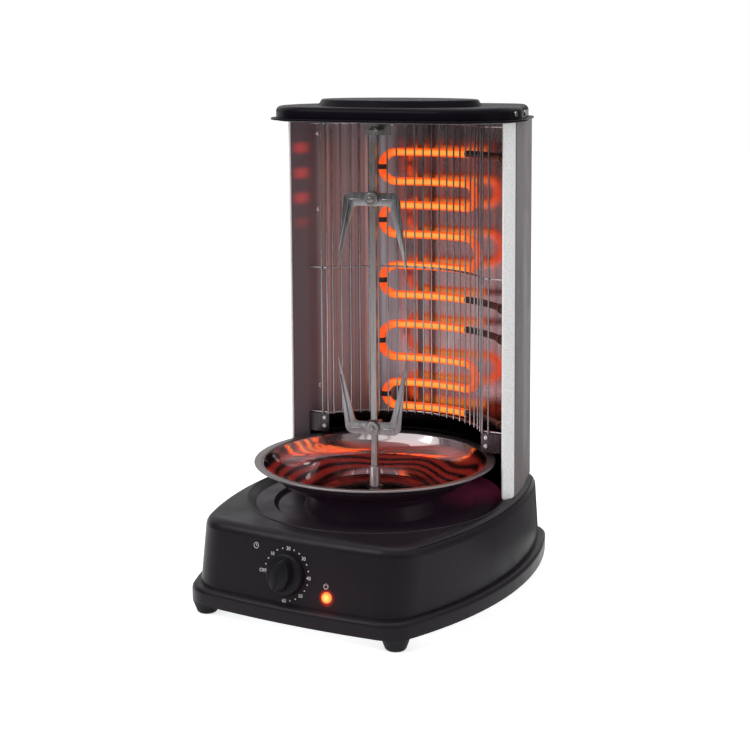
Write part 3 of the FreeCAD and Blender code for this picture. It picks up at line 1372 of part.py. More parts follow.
def bracket_screw_xs():
    """X of the two bracket screws."""
    return (-BRACKET_W * 0.3, BRACKET_W * 0.3)


def bearing_bracket():
    """Bent bracket under the top plate: foot, upright plate and the tongue round the tip."""
    half = BRACKET_W / 2
    foot_piece = box(-half, BRACKET_Y, TOP_Z - BRACKET_T, half, BRACKET_Y + BRACKET_FOOT, TOP_Z)
    plate = box(-half, BRACKET_Y, TOP_Z - BRACKET_DROP, half, BRACKET_Y + BRACKET_T, TOP_Z)
    z0, z1 = TONGUE_Z - BRACKET_T, TONGUE_Z
    tongue = fuse([disc(TONGUE_R, z0, z1), box(-TONGUE_R, 0, z0, TONGUE_R, BRACKET_Y + BRACKET_T, z1)])
    bracket = fuse([foot_piece, plate, tongue])
    holes = [disc(BUSH_R, z0 - 1, z1 + 1)]
    for x in bracket_screw_xs():
        holes.append(disc(SCREW_R, TOP_Z - BRACKET_T - 1, TOP_Z, x, BRACKET_Y + BRACKET_FOOT * 0.6))
    return bracket.cut(Part.makeCompound(holes))


def bearing_bush():
    """Bush in the bracket's tongue that guides the tip of the spit."""
    z0 = TONGUE_Z - BRACKET_T / 2 - BUSH_LENGTH / 2
    sleeve = disc(BUSH_R, z0, z0 + BUSH_LENGTH)
    rim = disc(BUSH_R + 1.0, z0 + BUSH_LENGTH / 2 + BRACKET_T / 2, z0 + BUSH_LENGTH / 2 + BRACKET_T / 2 + 0.8)
    return fuse([sleeve, rim]).cut(disc(SPIT_TIP_R + RUN_GAP, z0 - 1, z0 + BUSH_LENGTH + 2))


def bracket_screws():
    """Two screws up through the bracket's foot into the top plate."""
    y = BRACKET_Y + BRACKET_FOOT * 0.6
    return [screw(V(x, y, TOP_Z - BRACKET_T), Z_AXIS, 5.0) for x in bracket_screw_xs()]


def cord_inlet():
    """Flanged grommet in the rear wall where the supply cord enters."""
    y = housing_rear_y(inlet_z())
    z = inlet_z()
    barrel = rod(INLET_R, V(INLET_X, y + INLET_PROUD, z), V(INLET_X, y - BASE_WALL - INLET_TAIL, z))
    flange = rod(INLET_FLANGE_R, V(INLET_X, y + INLET_FLANGE_T, z), V(INLET_X, y - BASE_WALL / 2, z))
    flange = flange.cut(housing_solid())
    bore = rod(INLET_BORE_R, V(INLET_X, y + INLET_PROUD + 1, z), V(INLET_X, y - BASE_WALL - INLET_TAIL - 1, z))
    return fuse([barrel, flange]).cut(bore)


def housing_rear_y(z):
    """Y of the housing's rear face beside the inlet at a height."""
    share = (z - HOUSING_LOW_Z) / (DECK_Z - HOUSING_LOW_Z)
    return BASE_REAR - FLANGE_LEDGE - DECK_REAR_SETBACK * share - bow_sag(FRONT_BOW_R, INLET_X)


def terminal_block():
    """Ceramic block on the bottom plate where the wires meet."""
    z = BASE_Z + BASE_PLATE_T
    length, width, height = TERMINAL_SIZE
    body = Part.makeBox(length, width, height, V(INLET_X - length / 2, TERMINAL_Y, z))
    top = z + height
    holes = []
    for i in (-1, 0, 1):
        x = INLET_X + i * TERMINAL_PITCH
        holes.append(disc(TERMINAL_HOLE_R, top - TERMINAL_HOLE_DEPTH, top, x, TERMINAL_Y + width / 2))
    return body.cut(Part.makeCompound(holes))


# ------------------------------------------------------------------ nodes
def pair(name, shape):
    """Right and left nodes of one handed piece."""
    return {name + "_right": shape, name + "_left": mirrored(shape)}


def build():
    """Every node of the grill by name."""
    nodes = {
        "base_shell": base_shell(),
        "base_plate": base_plate(),
        "foot_screws": foot_screws(),
        "plate_screws": plate_screws(),
        "timer_case": timer_case(),
        "timer_nut": timer_nut(),
        "timer_shaft": timer_shaft(),
        "timer_knob": timer_knob(),
        "lamp_lens": lamp_lens(),
        "lamp_holder": lamp_holder(),
        "motor_case": motor_case(),
        "motor_cover": motor_cover(),
        "motor_coil": motor_coil(),
        "motor_rotor": motor_rotor(),
        "idler_gear": idler_gear(),
        "output_gear": output_gear(),
        "motor_screws": motor_screws(),
        "drive_bush": drive_bush(),
        "drive_coupler": drive_coupler(),
        "drip_tray": drip_tray(),
        "spit_shaft": spit_shaft(),
        "upper_fork": on_spit(fork(False), UPPER_FORK_Z),
        "lower_fork": on_spit(fork(True), LOWER_FORK_Z),
        "upper_thumb_screw": on_spit(thumb_screw(), UPPER_FORK_Z),
        "lower_thumb_screw": on_spit(thumb_screw(), LOWER_FORK_Z),
        "reflector": reflector(),
        "rear_cover": rear_cover(),
        "rear_screws": rear_screws(),
        "wing_screws": wing_screws(),
        "collar_screws": collar_screws(),
        "collar": collar(),
        "guard_wires": guard_wires(),
        "guard_rings": guard_rings(),
        "heater_upper": heater_element(run_heights()[0], -1),
        "heater_lower": heater_element(run_heights()[1], -1),
        "heater_cold_ends": cold_ends(),
        "heater_insulators": insulators(),
        "heater_strap": heater_strap(),
        "heater_clips": heater_clips(),
        "top_plate": top_plate(),
        "bearing_bracket": bearing_bracket(),
        "bearing_bush": bearing_bush(),
        "bracket_screws": bracket_screws(),
        "cap": cap(),
        "cap_screws": cap_screws(),
        "cord_inlet": cord_inlet(),
        "terminal_block": terminal_block(),
    }
    for name, (x, y) in foot_places().items():
        nodes["foot_" + name] = foot(x, y)
    nodes.update(pair("edge_strip", edge_strip()))
    nodes.update(pair("side_panel", side_panel()))
    return nodes


def main():
    """Write one STEP file for each node."""
    os.makedirs("parts", exist_ok=True)
    for name, shape in build().items():
        solids = shape if isinstance(shape, list) else shape.Solids
        whole = solids[0] if len(solids) == 1 else Part.makeCompound(solids)
        whole.exportStep("parts/" + name + ".step")


main()
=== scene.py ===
"""Looks of an upright electric skewer grill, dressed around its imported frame.

Metres, +Z up, the skewer stands on X = Y = 0 and the cooking side faces -Y.  Each class
holds one sub-assembly: its sizes are fields, its methods build its meshes and dress them.
"""
from __future__ import annotations

import logging
import math
from dataclasses import dataclass, field
from enum import Enum
from typing import Callable, Optional, Sequence

import bmesh
import bpy
from mathutils import Matrix, Vector
from mathutils.geometry import convex_hull_2d

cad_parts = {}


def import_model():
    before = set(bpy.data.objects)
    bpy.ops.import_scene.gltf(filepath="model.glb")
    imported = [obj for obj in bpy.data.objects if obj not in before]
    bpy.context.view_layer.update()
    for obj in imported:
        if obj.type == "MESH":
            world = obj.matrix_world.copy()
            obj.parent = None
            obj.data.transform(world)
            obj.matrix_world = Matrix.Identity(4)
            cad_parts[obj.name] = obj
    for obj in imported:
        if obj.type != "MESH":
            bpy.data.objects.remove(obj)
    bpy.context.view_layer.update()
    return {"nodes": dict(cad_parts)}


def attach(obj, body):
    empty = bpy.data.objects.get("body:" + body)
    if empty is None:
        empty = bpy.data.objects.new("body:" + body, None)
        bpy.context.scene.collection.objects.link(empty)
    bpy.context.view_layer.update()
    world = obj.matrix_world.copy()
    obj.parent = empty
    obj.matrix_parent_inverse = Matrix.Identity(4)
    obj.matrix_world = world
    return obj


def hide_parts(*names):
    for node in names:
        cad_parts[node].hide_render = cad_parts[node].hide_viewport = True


LOG = logging.getLogger("skewer_grill")
MM = 0.001
FULL_TURN = 2.0 * math.pi
UP = Vector((0.0, 0.0, 1.0))
Colour = tuple[float, float, float]
Point = tuple[float, float, float]
Span = tuple[float, float]
Socket = bpy.types.NodeSocket
Outputs = bpy.types.NodeOutputs
BMesh = bmesh.types.BMesh
BLACK: Colour = (0.0, 0.0, 0.0)
WHITE: Colour = (1.0, 1.0, 1.0)
DUST: Colour = (0.35, 0.34, 0.33)


def mm(*values: float) -> Vector:
    """A point given in millimetres, in metres."""
    return Vector(values) * MM


def rgba(colour: object) -> object:
    """A colour of three numbers with alpha 1 added, and anything else as it is."""
    return (*colour, 1.0) if isinstance(colour, tuple) and len(colour) == 3 else colour


def shaded(colour: Colour, share: float) -> Colour:
    """A colour at a share of its brightness."""
    return tuple(value * share for value in colour)


def add_object(name: str, data: bpy.types.ID) -> bpy.types.Object:
    """Adds an object to the scene.

    Args:
        name: its name.
        data: its mesh, lettering, light or camera.

    Returns:
        The object.
    """
    item = bpy.data.objects.new(name, data)
    bpy.context.scene.collection.objects.link(item)
    return item


# ------------------------------------------------------------------ shader helpers
class Tree:
    """A node tree being written, with short calls to add and join its nodes."""

    def __init__(self, tree: bpy.types.NodeTree) -> None:
        """Keeps the material's, world's or group's own node tree."""
        self.tree = tree

    def add(self, kind: str, **settings: object) -> bpy.types.Node:
        """Adds one node and sets its properties.

        Args:
            kind: the node's type, without the leading "ShaderNode".
            settings: the node's own properties.

        Returns:
            The new node.
        """
        node = self.tree.nodes.new(kind if kind.startswith("Node") else "ShaderNode" + kind)
        for key, value in settings.items():
            setattr(node, key, value)
        return node

    def feed(self, value: object, target: Socket) -> None:
        """Gives an input a socket to follow, or a plain value.

        Args:
            value: a socket, number or colour.
            target: the input.
        """
        if isinstance(value, Socket):
            self.tree.links.new(value, target)
        else:
            target.default_value = rgba(value)

    def math(self, operation: str, a: object, b: object = 0.0, clamp: bool = False) -> Socket:
        """One Math node.

        Args:
            operation: the node's operation, such as "MULTIPLY".
            a: first socket or number.
            b: second socket or number.
            clamp: whether the result is held between 0 and 1.

        Returns:
            The node's output.
        """
        node = self.add("Math", operation=operation, use_clamp=clamp)
        self.feed(a, node.inputs[0])
        self.feed(b, node.inputs[1])
        return node.outputs[0]

    def product(self, first: object, *factors: object) -> Socket:
        """Masks or numbers multiplied together.

        Args:
            first: socket or number.
            factors: the others, in order.

        Returns:
            Their product.
        """
        for factor in factors:
            first = self.math("MULTIPLY", first, factor)
        return first

    def remap(self, value: Socket, low: float, high: float, to: Span = (0.0, 1.0)) -> Socket:
        """Eases a range of values into another, held at its ends.

        Args:
            value: the socket that is mapped.
            low: value that gives the first number of to.
            high: value that gives the second number of to.
            to: the two results.

        Returns:
            The mapped socket.
        """
        node = self.add("MapRange", interpolation_type="SMOOTHSTEP", clamp=True)
        ends = {"Value": value, "From Min": low, "From Max": high, "To Min": to[0], "To Max": to[1]}
        for key, end in ends.items():
            self.feed(end, node.inputs[key])
        return node.outputs["Result"]

    def fade(self, value: Socket, low: float, high: float) -> Socket:
        """A mask that eases from 1 at a low value to 0 at a high one."""
        return self.remap(value, low, high, (1.0, 0.0))

    def blend(self, share: Socket, first: object, second: object) -> Socket:
        """Mixes two colours by a mask.

        Args:
            share: mask, 0 for the first colour and 1 for the second.
            first: colour or socket.
            second: colour or socket.

        Returns:
            The mixed colour.
        """
        node = self.add("Mix", data_type="RGBA")
        for key, value in (("Factor", share), ("A", first), ("B", second)):
            self.feed(value, node.inputs[key])
        return node.outputs["Result"]

    def spot(self, output: str = "Object") -> Socket:
        """The place on the piece, or with "Normal" the way that it faces."""
        return self.add("TexCoord").outputs[output]

    def split(self, output: str = "Object") -> Outputs:
        """The X, Y and Z of the place on the piece, or of the way that it faces.

        Args:
            output: "Object" or "Normal".

        Returns:
            The three outputs by name.
        """
        node = self.add("SeparateXYZ")
        self.feed(self.spot(output), node.inputs["Vector"])
        return node.outputs

    def distance(self, centre: Point) -> Socket:
        """Measures how far the surface is from a point.

        Args:
            centre: the point.

        Returns:
            The distance in metres.
        """
        node = self.add("VectorMath", operation="DISTANCE")
        self.feed(self.spot(), node.inputs[0])
        node.inputs[1].default_value = centre
        return node.outputs["Value"]

    def noise(self, place: Socket, detail: float, roughness: float = 0.5, scale: float = 1.0,
              distortion: float = 0.0, dimensions: str = "3D") -> Socket:
        """Smooth random noise.

        Args:
            place: coordinates that it is read at, or the one number for "1D".
            detail: octaves of finer noise.
            roughness: how strong the finer noise is.
            scale: patches per unit of the coordinates.
            distortion: how far the noise bends itself.
            dimensions: "3D" or "1D".

        Returns:
            The noise, 0 to 1.
        """
        node = self.add("TexNoise", noise_dimensions=dimensions)
        self.feed(place, node.inputs["W" if dimensions == "1D" else "Vector"])
        settings = {"Scale": scale, "Detail": detail, "Roughness": roughness, "Distortion": distortion}
        for key, value in settings.items():
            node.inputs[key].default_value = value
        return node.outputs["Fac"]

    def seen_rays(self) -> Socket:
        """Tells apart the rays that come from the camera or off a mirroring or clear surface.

        Returns:
            A mask of those rays.
        """
        path = self.add("LightPath").outputs
        seen = self.math("MAXIMUM", path["Is Camera Ray"], path["Is Glossy Ray"])
        return self.math("MAXIMUM", seen, path["Is Transmission Ray"])


class Effect(Enum):
    """The effects that more than one finish uses: name, inputs with their defaults, outputs."""

    GRAIN = ("fine grain", {"Size": 0.0006}, ("Height", "Mask"))
    STREAKS = ("brushed streaks", {"Size": 0.0008, "Stretch x": 1.0, "Stretch y": 1.0,
                                   "Stretch z": 0.02}, ("Height", "Mask"))
    RINGS = ("turned rings", {"Pitch": 0.0004}, ("Height", "Mask", "Radius"))
    SMUDGES = ("handling smudges", {"Size": 0.05, "Amount": 0.5}, ("Mask",))
    RIPPLE = ("sheet ripple", {"Size": 0.04}, ("Height",))
    DUST = ("settled dust", {"Size": 0.004, "Amount": 0.3}, ("Mask",))


class EffectLibrary:
    """The shader node groups, each built once and placed in many materials."""

    def __init__(self) -> None:
        """Starts with no group built."""
        self._groups: dict[Effect, bpy.types.NodeTree] = {}
        self._writers: dict[Effect, Callable[[Tree, Outputs], Sequence[Socket]]] = {
            Effect.GRAIN: self._grain, Effect.STREAKS: self._streaks, Effect.RINGS: self._rings,
            Effect.SMUDGES: self._smudges, Effect.RIPPLE: self._ripple, Effect.DUST: self._dust}

    def get(self, effect: Effect) -> bpy.types.NodeTree:
        """The node group of an effect, built on first use.

        Args:
            effect: which effect.

        Returns:
            Its node group.
        """
        if effect not in self._groups:
            name, inputs, outputs = effect.value
            tree = Tree(bpy.data.node_groups.new(name, "ShaderNodeTree"))
            add_socket = tree.tree.interface.new_socket
            for key, value in inputs.items():
                add_socket(name=key, in_out="INPUT", socket_type="NodeSocketFloat").default_value = value
            for key in outputs:
                add_socket(name=key, in_out="OUTPUT", socket_type="NodeSocketFloat")
            made = self._writers[effect](tree, tree.add("NodeGroupInput").outputs)
            out = tree.add("NodeGroupOutput").inputs
            for key, socket in zip(outputs, made):
                tree.feed(socket, out[key])
            self._groups[effect] = tree.tree
        return self._groups[effect]

    @staticmethod
    def _scaled(tree: Tree, size: Socket, stretch: Point = (1.0, 1.0, 1.0)) -> Socket:
        """Object coordinates divided by a size, and stretched along the axes.

        Args:
            tree: the group's tree.
            size: the pattern's size in metres.
            stretch: factor along X, Y and Z.

        Returns:
            The scaled coordinates.
        """
        mapped = tree.add("Mapping")
        tree.feed(tree.spot(), mapped.inputs["Vector"])
        mapped.inputs["Scale"].default_value = stretch
        scaled = tree.add("VectorMath", operation="SCALE")
        tree.feed(mapped.outputs["Vector"], scaled.inputs[0])
        tree.feed(tree.math("DIVIDE", 1.0, size), scaled.inputs["Scale"])
        return scaled.outputs["Vector"]

    def _grain(self, tree: Tree, given: Outputs) -> Sequence[Socket]:
        """Fine pebbled grain of moulded plastic, rubber or paint.

        Args:
            tree: the group's tree.
            given: the group's inputs.

        Returns:
            The group's outputs, in order.
        """
        height = tree.noise(self._scaled(tree, given["Size"]), 3.0, 0.55)
        return height, tree.remap(height, 0.4, 0.62)

    def _streaks(self, tree: Tree, given: Outputs) -> Sequence[Socket]:
        """Long fine streaks of a brushed surface, whose stretches choose their run.

        Args:
            tree: the group's tree.
            given: the group's inputs.

        Returns:
            The group's outputs, in order.
        """
        stretch = tree.add("CombineXYZ")
        for axis in "xyz":
            tree.feed(given["Stretch " + axis], stretch.inputs[axis.upper()])
        spot = tree.add("VectorMath", operation="MULTIPLY")
        tree.feed(self._scaled(tree, given["Size"]), spot.inputs[0])
        tree.feed(stretch.outputs["Vector"], spot.inputs[1])
        height = tree.noise(spot.outputs["Vector"], 4.0, 0.6)
        return height, tree.remap(height, 0.36, 0.64)

    def _rings(self, tree: Tree, given: Outputs) -> Sequence[Socket]:
        """Concentric turning marks about the skewer's axis.

        Args:
            tree: the group's tree.
            given: the group's inputs.

        Returns:
            The group's outputs, in order.
        """
        at = tree.split()
        squares = tree.math("ADD", tree.product(at["X"], at["X"]), tree.product(at["Y"], at["Y"]))
        radius = tree.math("SQRT", squares)
        height = tree.noise(tree.math("DIVIDE", radius, given["Pitch"]), 3.0, 0.6, dimensions="1D")
        return height, tree.remap(height, 0.38, 0.62), radius

    def _smudges(self, tree: Tree, given: Outputs) -> Sequence[Socket]:
        """Soft uneven marks left by wiping and handling."""
        noise = tree.noise(self._scaled(tree, given["Size"], (1.0, 1.0, 0.6)), 5.0, 0.6, distortion=0.6)
        return (tree.product(tree.remap(noise, 0.38, 0.68), given["Amount"]),)

    def _ripple(self, tree: Tree, given: Outputs) -> Sequence[Socket]:
        """Slow unevenness of thin sheet, which bends what it mirrors."""
        return (tree.noise(self._scaled(tree, given["Size"], (1.0, 1.0, 0.35)), 1.0),)

    def _dust(self, tree: Tree, given: Outputs) -> Sequence[Socket]:
        """A thin film of dust on faces that look up.

        Args:
            tree: the group's tree.
            given: the group's inputs.

        Returns:
            The group's outputs, in order.
        """
        lying = tree.remap(tree.split("Normal")["Z"], 0.5, 1.0)
        specks = tree.remap(tree.noise(self._scaled(tree, given["Size"]), 6.0), 0.45, 0.75)
        return (tree.product(lying, specks, given["Amount"]),)


class Skin(Tree):
    """A material being written: its nodes, its shader and the effects that it may place."""

    def __init__(self, name: str, effects: Optional[EffectLibrary] = None) -> None:
        """Starts a material with its shader.

        Args:
            name: the material's name.
            effects: the shared node groups.
        """
        self.material = bpy.data.materials.new(name)
        self.material.use_nodes = True
        super().__init__(self.material.node_tree)
        self.shader = self.tree.nodes["Principled BSDF"]
        self.effects = effects

    def put(self, key: str, value: object) -> None:
        """Gives one of the shader's inputs a number, a colour or a socket."""
        self.feed(value, self.shader.inputs[key])

    def now(self, key: str) -> Socket:
        """The socket that one of the shader's inputs follows so far."""
        return self.shader.inputs[key].links[0].from_socket

    def effect(self, effect: Effect, **values: float) -> Outputs:
        """Places an effect's node group and sets its named inputs.

        Args:
            effect: which effect.
            values: input values, by the input's name with "_" for a space.

        Returns:
            The effect's outputs by name.
        """
        node = self.add("Group", node_tree=self.effects.get(effect))
        for key, value in values.items():
            node.inputs[key.replace("_", " ").capitalize()].default_value = value
        return node.outputs

    def bump(self, height: Socket, depth: float) -> None:
        """Raises the surface by a height map.

        Args:
            height: the height, 0 to 1.
            depth: what a height of 1 stands for, in metres.
        """
        node = self.add("Bump")
        node.inputs["Strength"].default_value = 1.0
        node.inputs["Distance"].default_value = depth
        self.feed(height, node.inputs["Height"])
        self.put("Normal", node.outputs["Normal"])

    def shine(self, colour: object) -> None:
        """Lets the surface give off light of a colour or socket, at full strength."""
        self.put("Emission Color", colour)
        self.put("Emission Strength", 1.0)


# ------------------------------------------------------------------ finishes
class Lay(Enum):
    """Which way the marks of a metal finish run: the stretch of its streaks."""

    UPRIGHT = (1.0, 1.0, 0.015)
    ACROSS = (0.015, 0.3, 1.0)
    TURNED = None


@dataclass(frozen=True)
class Finish:
    """A surface finish; each kind writes its own nodes."""

    name: str
    colour: Colour
    roughness: float

    def make(self, effects: EffectLibrary) -> bpy.types.Material:
        """Makes the material.

        Args:
            effects: the shared node groups.

        Returns:
            The finished material.
        """
        skin = Skin(self.name, effects)
        skin.put("Base Color", self.colour)
        skin.put("Roughness", self.roughness)
        self.write(skin)
        return skin.material

    def write(self, skin: Skin) -> None:
        """Adds the nodes of this kind of finish.

        Args:
            skin: the material being written.
        """
        raise NotImplementedError


@dataclass(frozen=True)
class Moulded(Finish):
    """Moulded plastic, rubber or baked paint: a fine grain, smudges and a little dust."""

    grain: float = 0.0005
    depth: float = 0.00001
    smudge: float = 0.35
    dust: float = 0.0
    specular: float = 0.5
    coat: float = 0.0
    smudge_size: float = 0.05
    dust_size: float = 0.004
    smudge_roughness: float = 0.3

    def write(self, skin: Skin) -> None:
        """Adds the nodes.

        Args:
            skin: the material being written.
        """
        skin.put("Specular IOR Level", self.specular)
        skin.put("Coat Weight", self.coat)
        skin.put("Coat Roughness", self.roughness * 0.5)
        grain = skin.effect(Effect.GRAIN, size=self.grain)
        smudge = skin.effect(Effect.SMUDGES, size=self.smudge_size, amount=self.smudge)
        dust = skin.effect(Effect.DUST, size=self.dust_size, amount=self.dust)
        lighter = tuple(min(1.0, value * 1.18 + 0.002) for value in self.colour)
        toned = skin.blend(grain["Mask"], self.colour, lighter)
        skin.put("Base Color", skin.blend(dust["Mask"], toned, DUST))
        uneven = skin.product(smudge["Mask"], self.smudge_roughness)
        skin.put("Roughness", skin.math("ADD", uneven, self.roughness, clamp=True))
        skin.bump(grain["Height"], self.depth)


@dataclass(frozen=True)
class HousingPlastic(Moulded):
    """The housing's plastic, with painted shade under the tray and painted light from the heater and the
    lamp.
    """

    painted_shade_radii: Span = (0.062, 0.100)
    painted_shade_share: float = 0.22
    recess_radii: Span = (0.104, 0.114)
    recess_z: Span = (0.070, 0.076)
    painted_light_colour: Colour = (0.0060, 0.0030, 0.0056)
    glow_centre: Point = (0.078, 0.066, 0.0820)
    glow_reach: Span = (-0.006, 0.056)
    glow_colour: Colour = (0.0440, 0.0055, 0.0150)
    lamp_centre: Point = (0.0352, -0.1490, 0.0374)
    lamp_reach: Span = (0.0052, 0.0088)
    lamp_colour: Colour = (0.300, 0.010, 0.002)

    def write(self, skin: Skin) -> None:
        """Adds the nodes.

        Args:
            skin: the material being written.
        """
        super().write(skin)
        radius = skin.effect(Effect.RINGS, pitch=0.01)["Radius"]
        # painted shade: the plastic is darker close to the axis, under the tray, where the tray's shadow
        # falls
        painted_shade = skin.fade(radius, *self.painted_shade_radii)
        shade_colour = shaded(self.colour, self.painted_shade_share)
        skin.put("Base Color", skin.blend(painted_shade, skin.now("Base Color"), shade_colour))
        # painted light: a faint glow of the heater painted on the floor of the deck's recess
        in_recess = skin.product(skin.fade(radius, *self.recess_radii),
                                 skin.remap(skin.split()["Z"], *self.recess_z))
        lit = skin.blend(in_recess, BLACK, self.painted_light_colour)
        # painted reflection: a magenta patch of the heater's light painted on the deck
        glow = skin.fade(skin.distance(self.glow_centre), *self.glow_reach)
        lit = skin.blend(glow, lit, self.glow_colour)
        # painted light: a red halo of the lamp painted on the plastic round its lens
        halo = skin.fade(skin.distance(self.lamp_centre), *self.lamp_reach)
        skin.shine(skin.blend(skin.product(halo, halo), lit, self.lamp_colour))


@dataclass(frozen=True)
class Metal(Finish):
    """Bare metal, brushed or turned, with wiping marks."""

    lay: Lay = Lay.UPRIGHT
    pitch: float = 0.0006
    depth: float = 0.000006
    spread: float = 0.14
    smudge: float = 0.4
    ripple: float = 0.0
    edge: float = 1.0
    marks_shade: float = 0.84
    smudge_size: float = 0.03
    smudge_roughness: float = 0.16
    ripple_size: float = 0.045

    def write(self, skin: Skin) -> None:
        """Adds the nodes.

        Args:
            skin: the material being written.
        """
        skin.put("Metallic", 1.0)
        skin.put("Specular Tint", (self.edge,) * 3)
        if self.lay is Lay.TURNED:
            marks = skin.effect(Effect.RINGS, pitch=self.pitch)
        else:
            x, y, z = self.lay.value
            marks = skin.effect(Effect.STREAKS, size=self.pitch, stretch_x=x, stretch_y=y, stretch_z=z)
        smudge = skin.effect(Effect.SMUDGES, size=self.smudge_size, amount=self.smudge)
        darker = shaded(self.colour, self.marks_shade)
        skin.put("Base Color", skin.blend(marks["Mask"], self.colour, darker))
        uneven = skin.math("ADD", skin.product(marks["Mask"], self.spread),
                           skin.product(smudge["Mask"], self.smudge_roughness))
        skin.put("Roughness", skin.math("ADD", uneven, self.roughness, clamp=True))
        height = marks["Height"]
        if self.ripple > 0.0:
            wave = skin.effect(Effect.RIPPLE, size=self.ripple_size)["Height"]
            height = skin.math("ADD", height, skin.product(wave, self.ripple / self.depth))
        skin.bump(height, self.depth)


@dataclass(frozen=True)
class ReflectorSheet(Metal):
    """Bright sheet behind the heater, satin towards the far side, with the heater's glow and reflections
    painted on it.
    """

    satin_x: Span = (-0.0620, -0.0480)
    satin_colour: Colour = (0.50, 0.60, 0.70)
    satin_shade: float = 0.55
    satin_stripe: float = 0.0045
    satin_roughness: float = 0.15
    satin_metal: float = 0.35
    inside_normal: Span = (-0.15, 0.0)
    wing_x: Span = (-0.1020, -0.0985)
    wing_colour: Colour = (0.190, 0.160, 0.185)
    painted_glow_colour: Colour = (0.115, 0.009, 0.005)
    painted_glow_low_z: Span = (0.130, 0.145)
    painted_glow_high_z: Span = (0.402, 0.412)
    painted_glow_high_x: Span = (0.068, 0.080)
    spot_top: float = 0.4020
    spot_pitch: float = 0.0245
    spot_low_z: Span = (0.3100, 0.3600)
    spot_high_z: Span = (0.4080, 0.4160)
    spot_y: float = 0.0500
    spot_half_y: float = 0.0150
    painted_reflection_colour: Colour = (0.300, 0.006, 0.004)

    def painted_reflections(self, skin: Skin, at: Outputs) -> Socket:
        """Sets where the heater's runs are painted as soft reflections on the wing.

        Args:
            skin: the material.
            at: the X, Y and Z of the place on the sheet.

        Returns:
            A mask of the painted reflections.
        """
        turn = skin.product(skin.math("SUBTRACT", at["Z"], self.spot_top), FULL_TURN / self.spot_pitch)
        runs = skin.remap(skin.math("COSINE", turn), -0.9, 1.1)
        off = skin.math("ABSOLUTE", skin.math("SUBTRACT", at["Y"], self.spot_y))
        height = skin.product(skin.remap(at["Z"], *self.spot_low_z),
                              skin.fade(at["Z"], *self.spot_high_z))
        return skin.product(runs, runs, skin.fade(off, 0.0, self.spot_half_y), height)

    def write(self, skin: Skin) -> None:
        """Adds the nodes.

        Args:
            skin: the material being written.
        """
        super().write(skin)
        at = skin.split()
        inside = skin.fade(skin.split("Normal")["Y"], *self.inside_normal)
        far = skin.product(skin.fade(at["X"], *self.satin_x), inside)
        wing = skin.fade(at["X"], *self.wing_x)
        stripes = skin.effect(Effect.STREAKS, size=self.satin_stripe, stretch_z=0.004)["Mask"]
        satin = skin.blend(stripes, self.satin_colour, shaded(self.satin_colour, self.satin_shade))
        toned = skin.blend(far, skin.now("Base Color"), satin)
        skin.put("Base Color", skin.blend(wing, toned, self.wing_colour))
        # painted light: a red haze of the heater's light painted on the inside of the sheet, in upright
        # stripes
        painted_glow = skin.product(inside, skin.math("SUBTRACT", 1.0, far),
                            skin.fade(at["X"], *self.painted_glow_high_x), skin.fade(at["Z"], *self.painted_glow_high_z),
                            skin.remap(at["Z"], *self.painted_glow_low_z), skin.remap(stripes, 0.1, 0.9))
        # painted reflection: the heater's runs painted as soft red patches on the wing
        glow = skin.product(self.painted_reflections(skin, at), wing)
        skin.shine(skin.blend(glow, skin.blend(painted_glow, BLACK, self.painted_glow_colour), self.painted_reflection_colour))
        skin.put("Metallic", skin.math("SUBTRACT", 1.0, skin.product(far, 1.0 - self.satin_metal)))
        duller = skin.product(far, self.satin_roughness)
        skin.put("Roughness", skin.math("ADD", skin.now("Roughness"), duller, clamp=True))


@dataclass(frozen=True)
class TrayMetal(Finish):
    """Polished dish with a brushed rim, told apart by the distance from the axis, and a painted red
    reflection of the heater on its inside.
    """

    smudge_size: float = 0.03
    dish_spread: float = 0.1
    rim_spread: float = 0.12
    ring_pitch: float = 0.0005
    ring_depth: float = 0.000004
    rim_radii: Span = (0.1029, 0.1041)
    rim_roughness: float = 0.34
    rim_colours: tuple[Colour, Colour] = ((0.235, 0.205, 0.210), (0.170, 0.150, 0.155))
    painted_light_colour: Colour = (0.1500, 0.0100, 0.0060)
    reflection_inner: Span = (0.046, 0.066)
    reflection_outer: Span = (0.096, 0.101)
    reflection_pitch: float = 0.0105
    reflection_waves: float = 3.6
    reflection_flow: float = 17.0

    def write(self, skin: Skin) -> None:
        """Adds the nodes.

        Args:
            skin: the material being written.
        """
        skin.put("Metallic", 1.0)
        rings = skin.effect(Effect.RINGS, pitch=self.ring_pitch)
        smudge = skin.effect(Effect.SMUDGES, size=self.smudge_size, amount=0.5)
        on_rim = skin.remap(rings["Radius"], *self.rim_radii)
        rim_colour = skin.blend(rings["Mask"], *self.rim_colours)
        skin.put("Base Color", skin.blend(on_rim, self.colour, rim_colour))
        dish = skin.math("ADD", skin.product(smudge["Mask"], self.dish_spread), self.roughness)
        rim = skin.math("ADD", skin.product(rings["Mask"], self.rim_spread), self.rim_roughness)
        extra = skin.product(skin.math("SUBTRACT", rim, dish), on_rim)
        skin.put("Roughness", skin.math("ADD", dish, extra))
        skin.bump(rings["Height"], self.ring_depth)
        # painted reflection: wavy red rings of the heater's light painted on the inside of the dish
        flow = skin.noise(skin.spot(), 0.4, scale=self.reflection_flow)
        turn = skin.math("ADD", skin.math("DIVIDE", rings["Radius"], self.reflection_pitch),
                         skin.product(flow, self.reflection_waves))
        lines = skin.remap(skin.math("COSINE", skin.product(turn, FULL_TURN)), -1.2, 0.9)
        wall = skin.product(skin.remap(rings["Radius"], *self.reflection_inner),
                            skin.fade(rings["Radius"], *self.reflection_outer),
                            skin.remap(skin.split("Normal")["Z"], 0.0, 0.1))
        skin.shine(skin.blend(skin.product(lines, wall), BLACK, self.painted_light_colour))


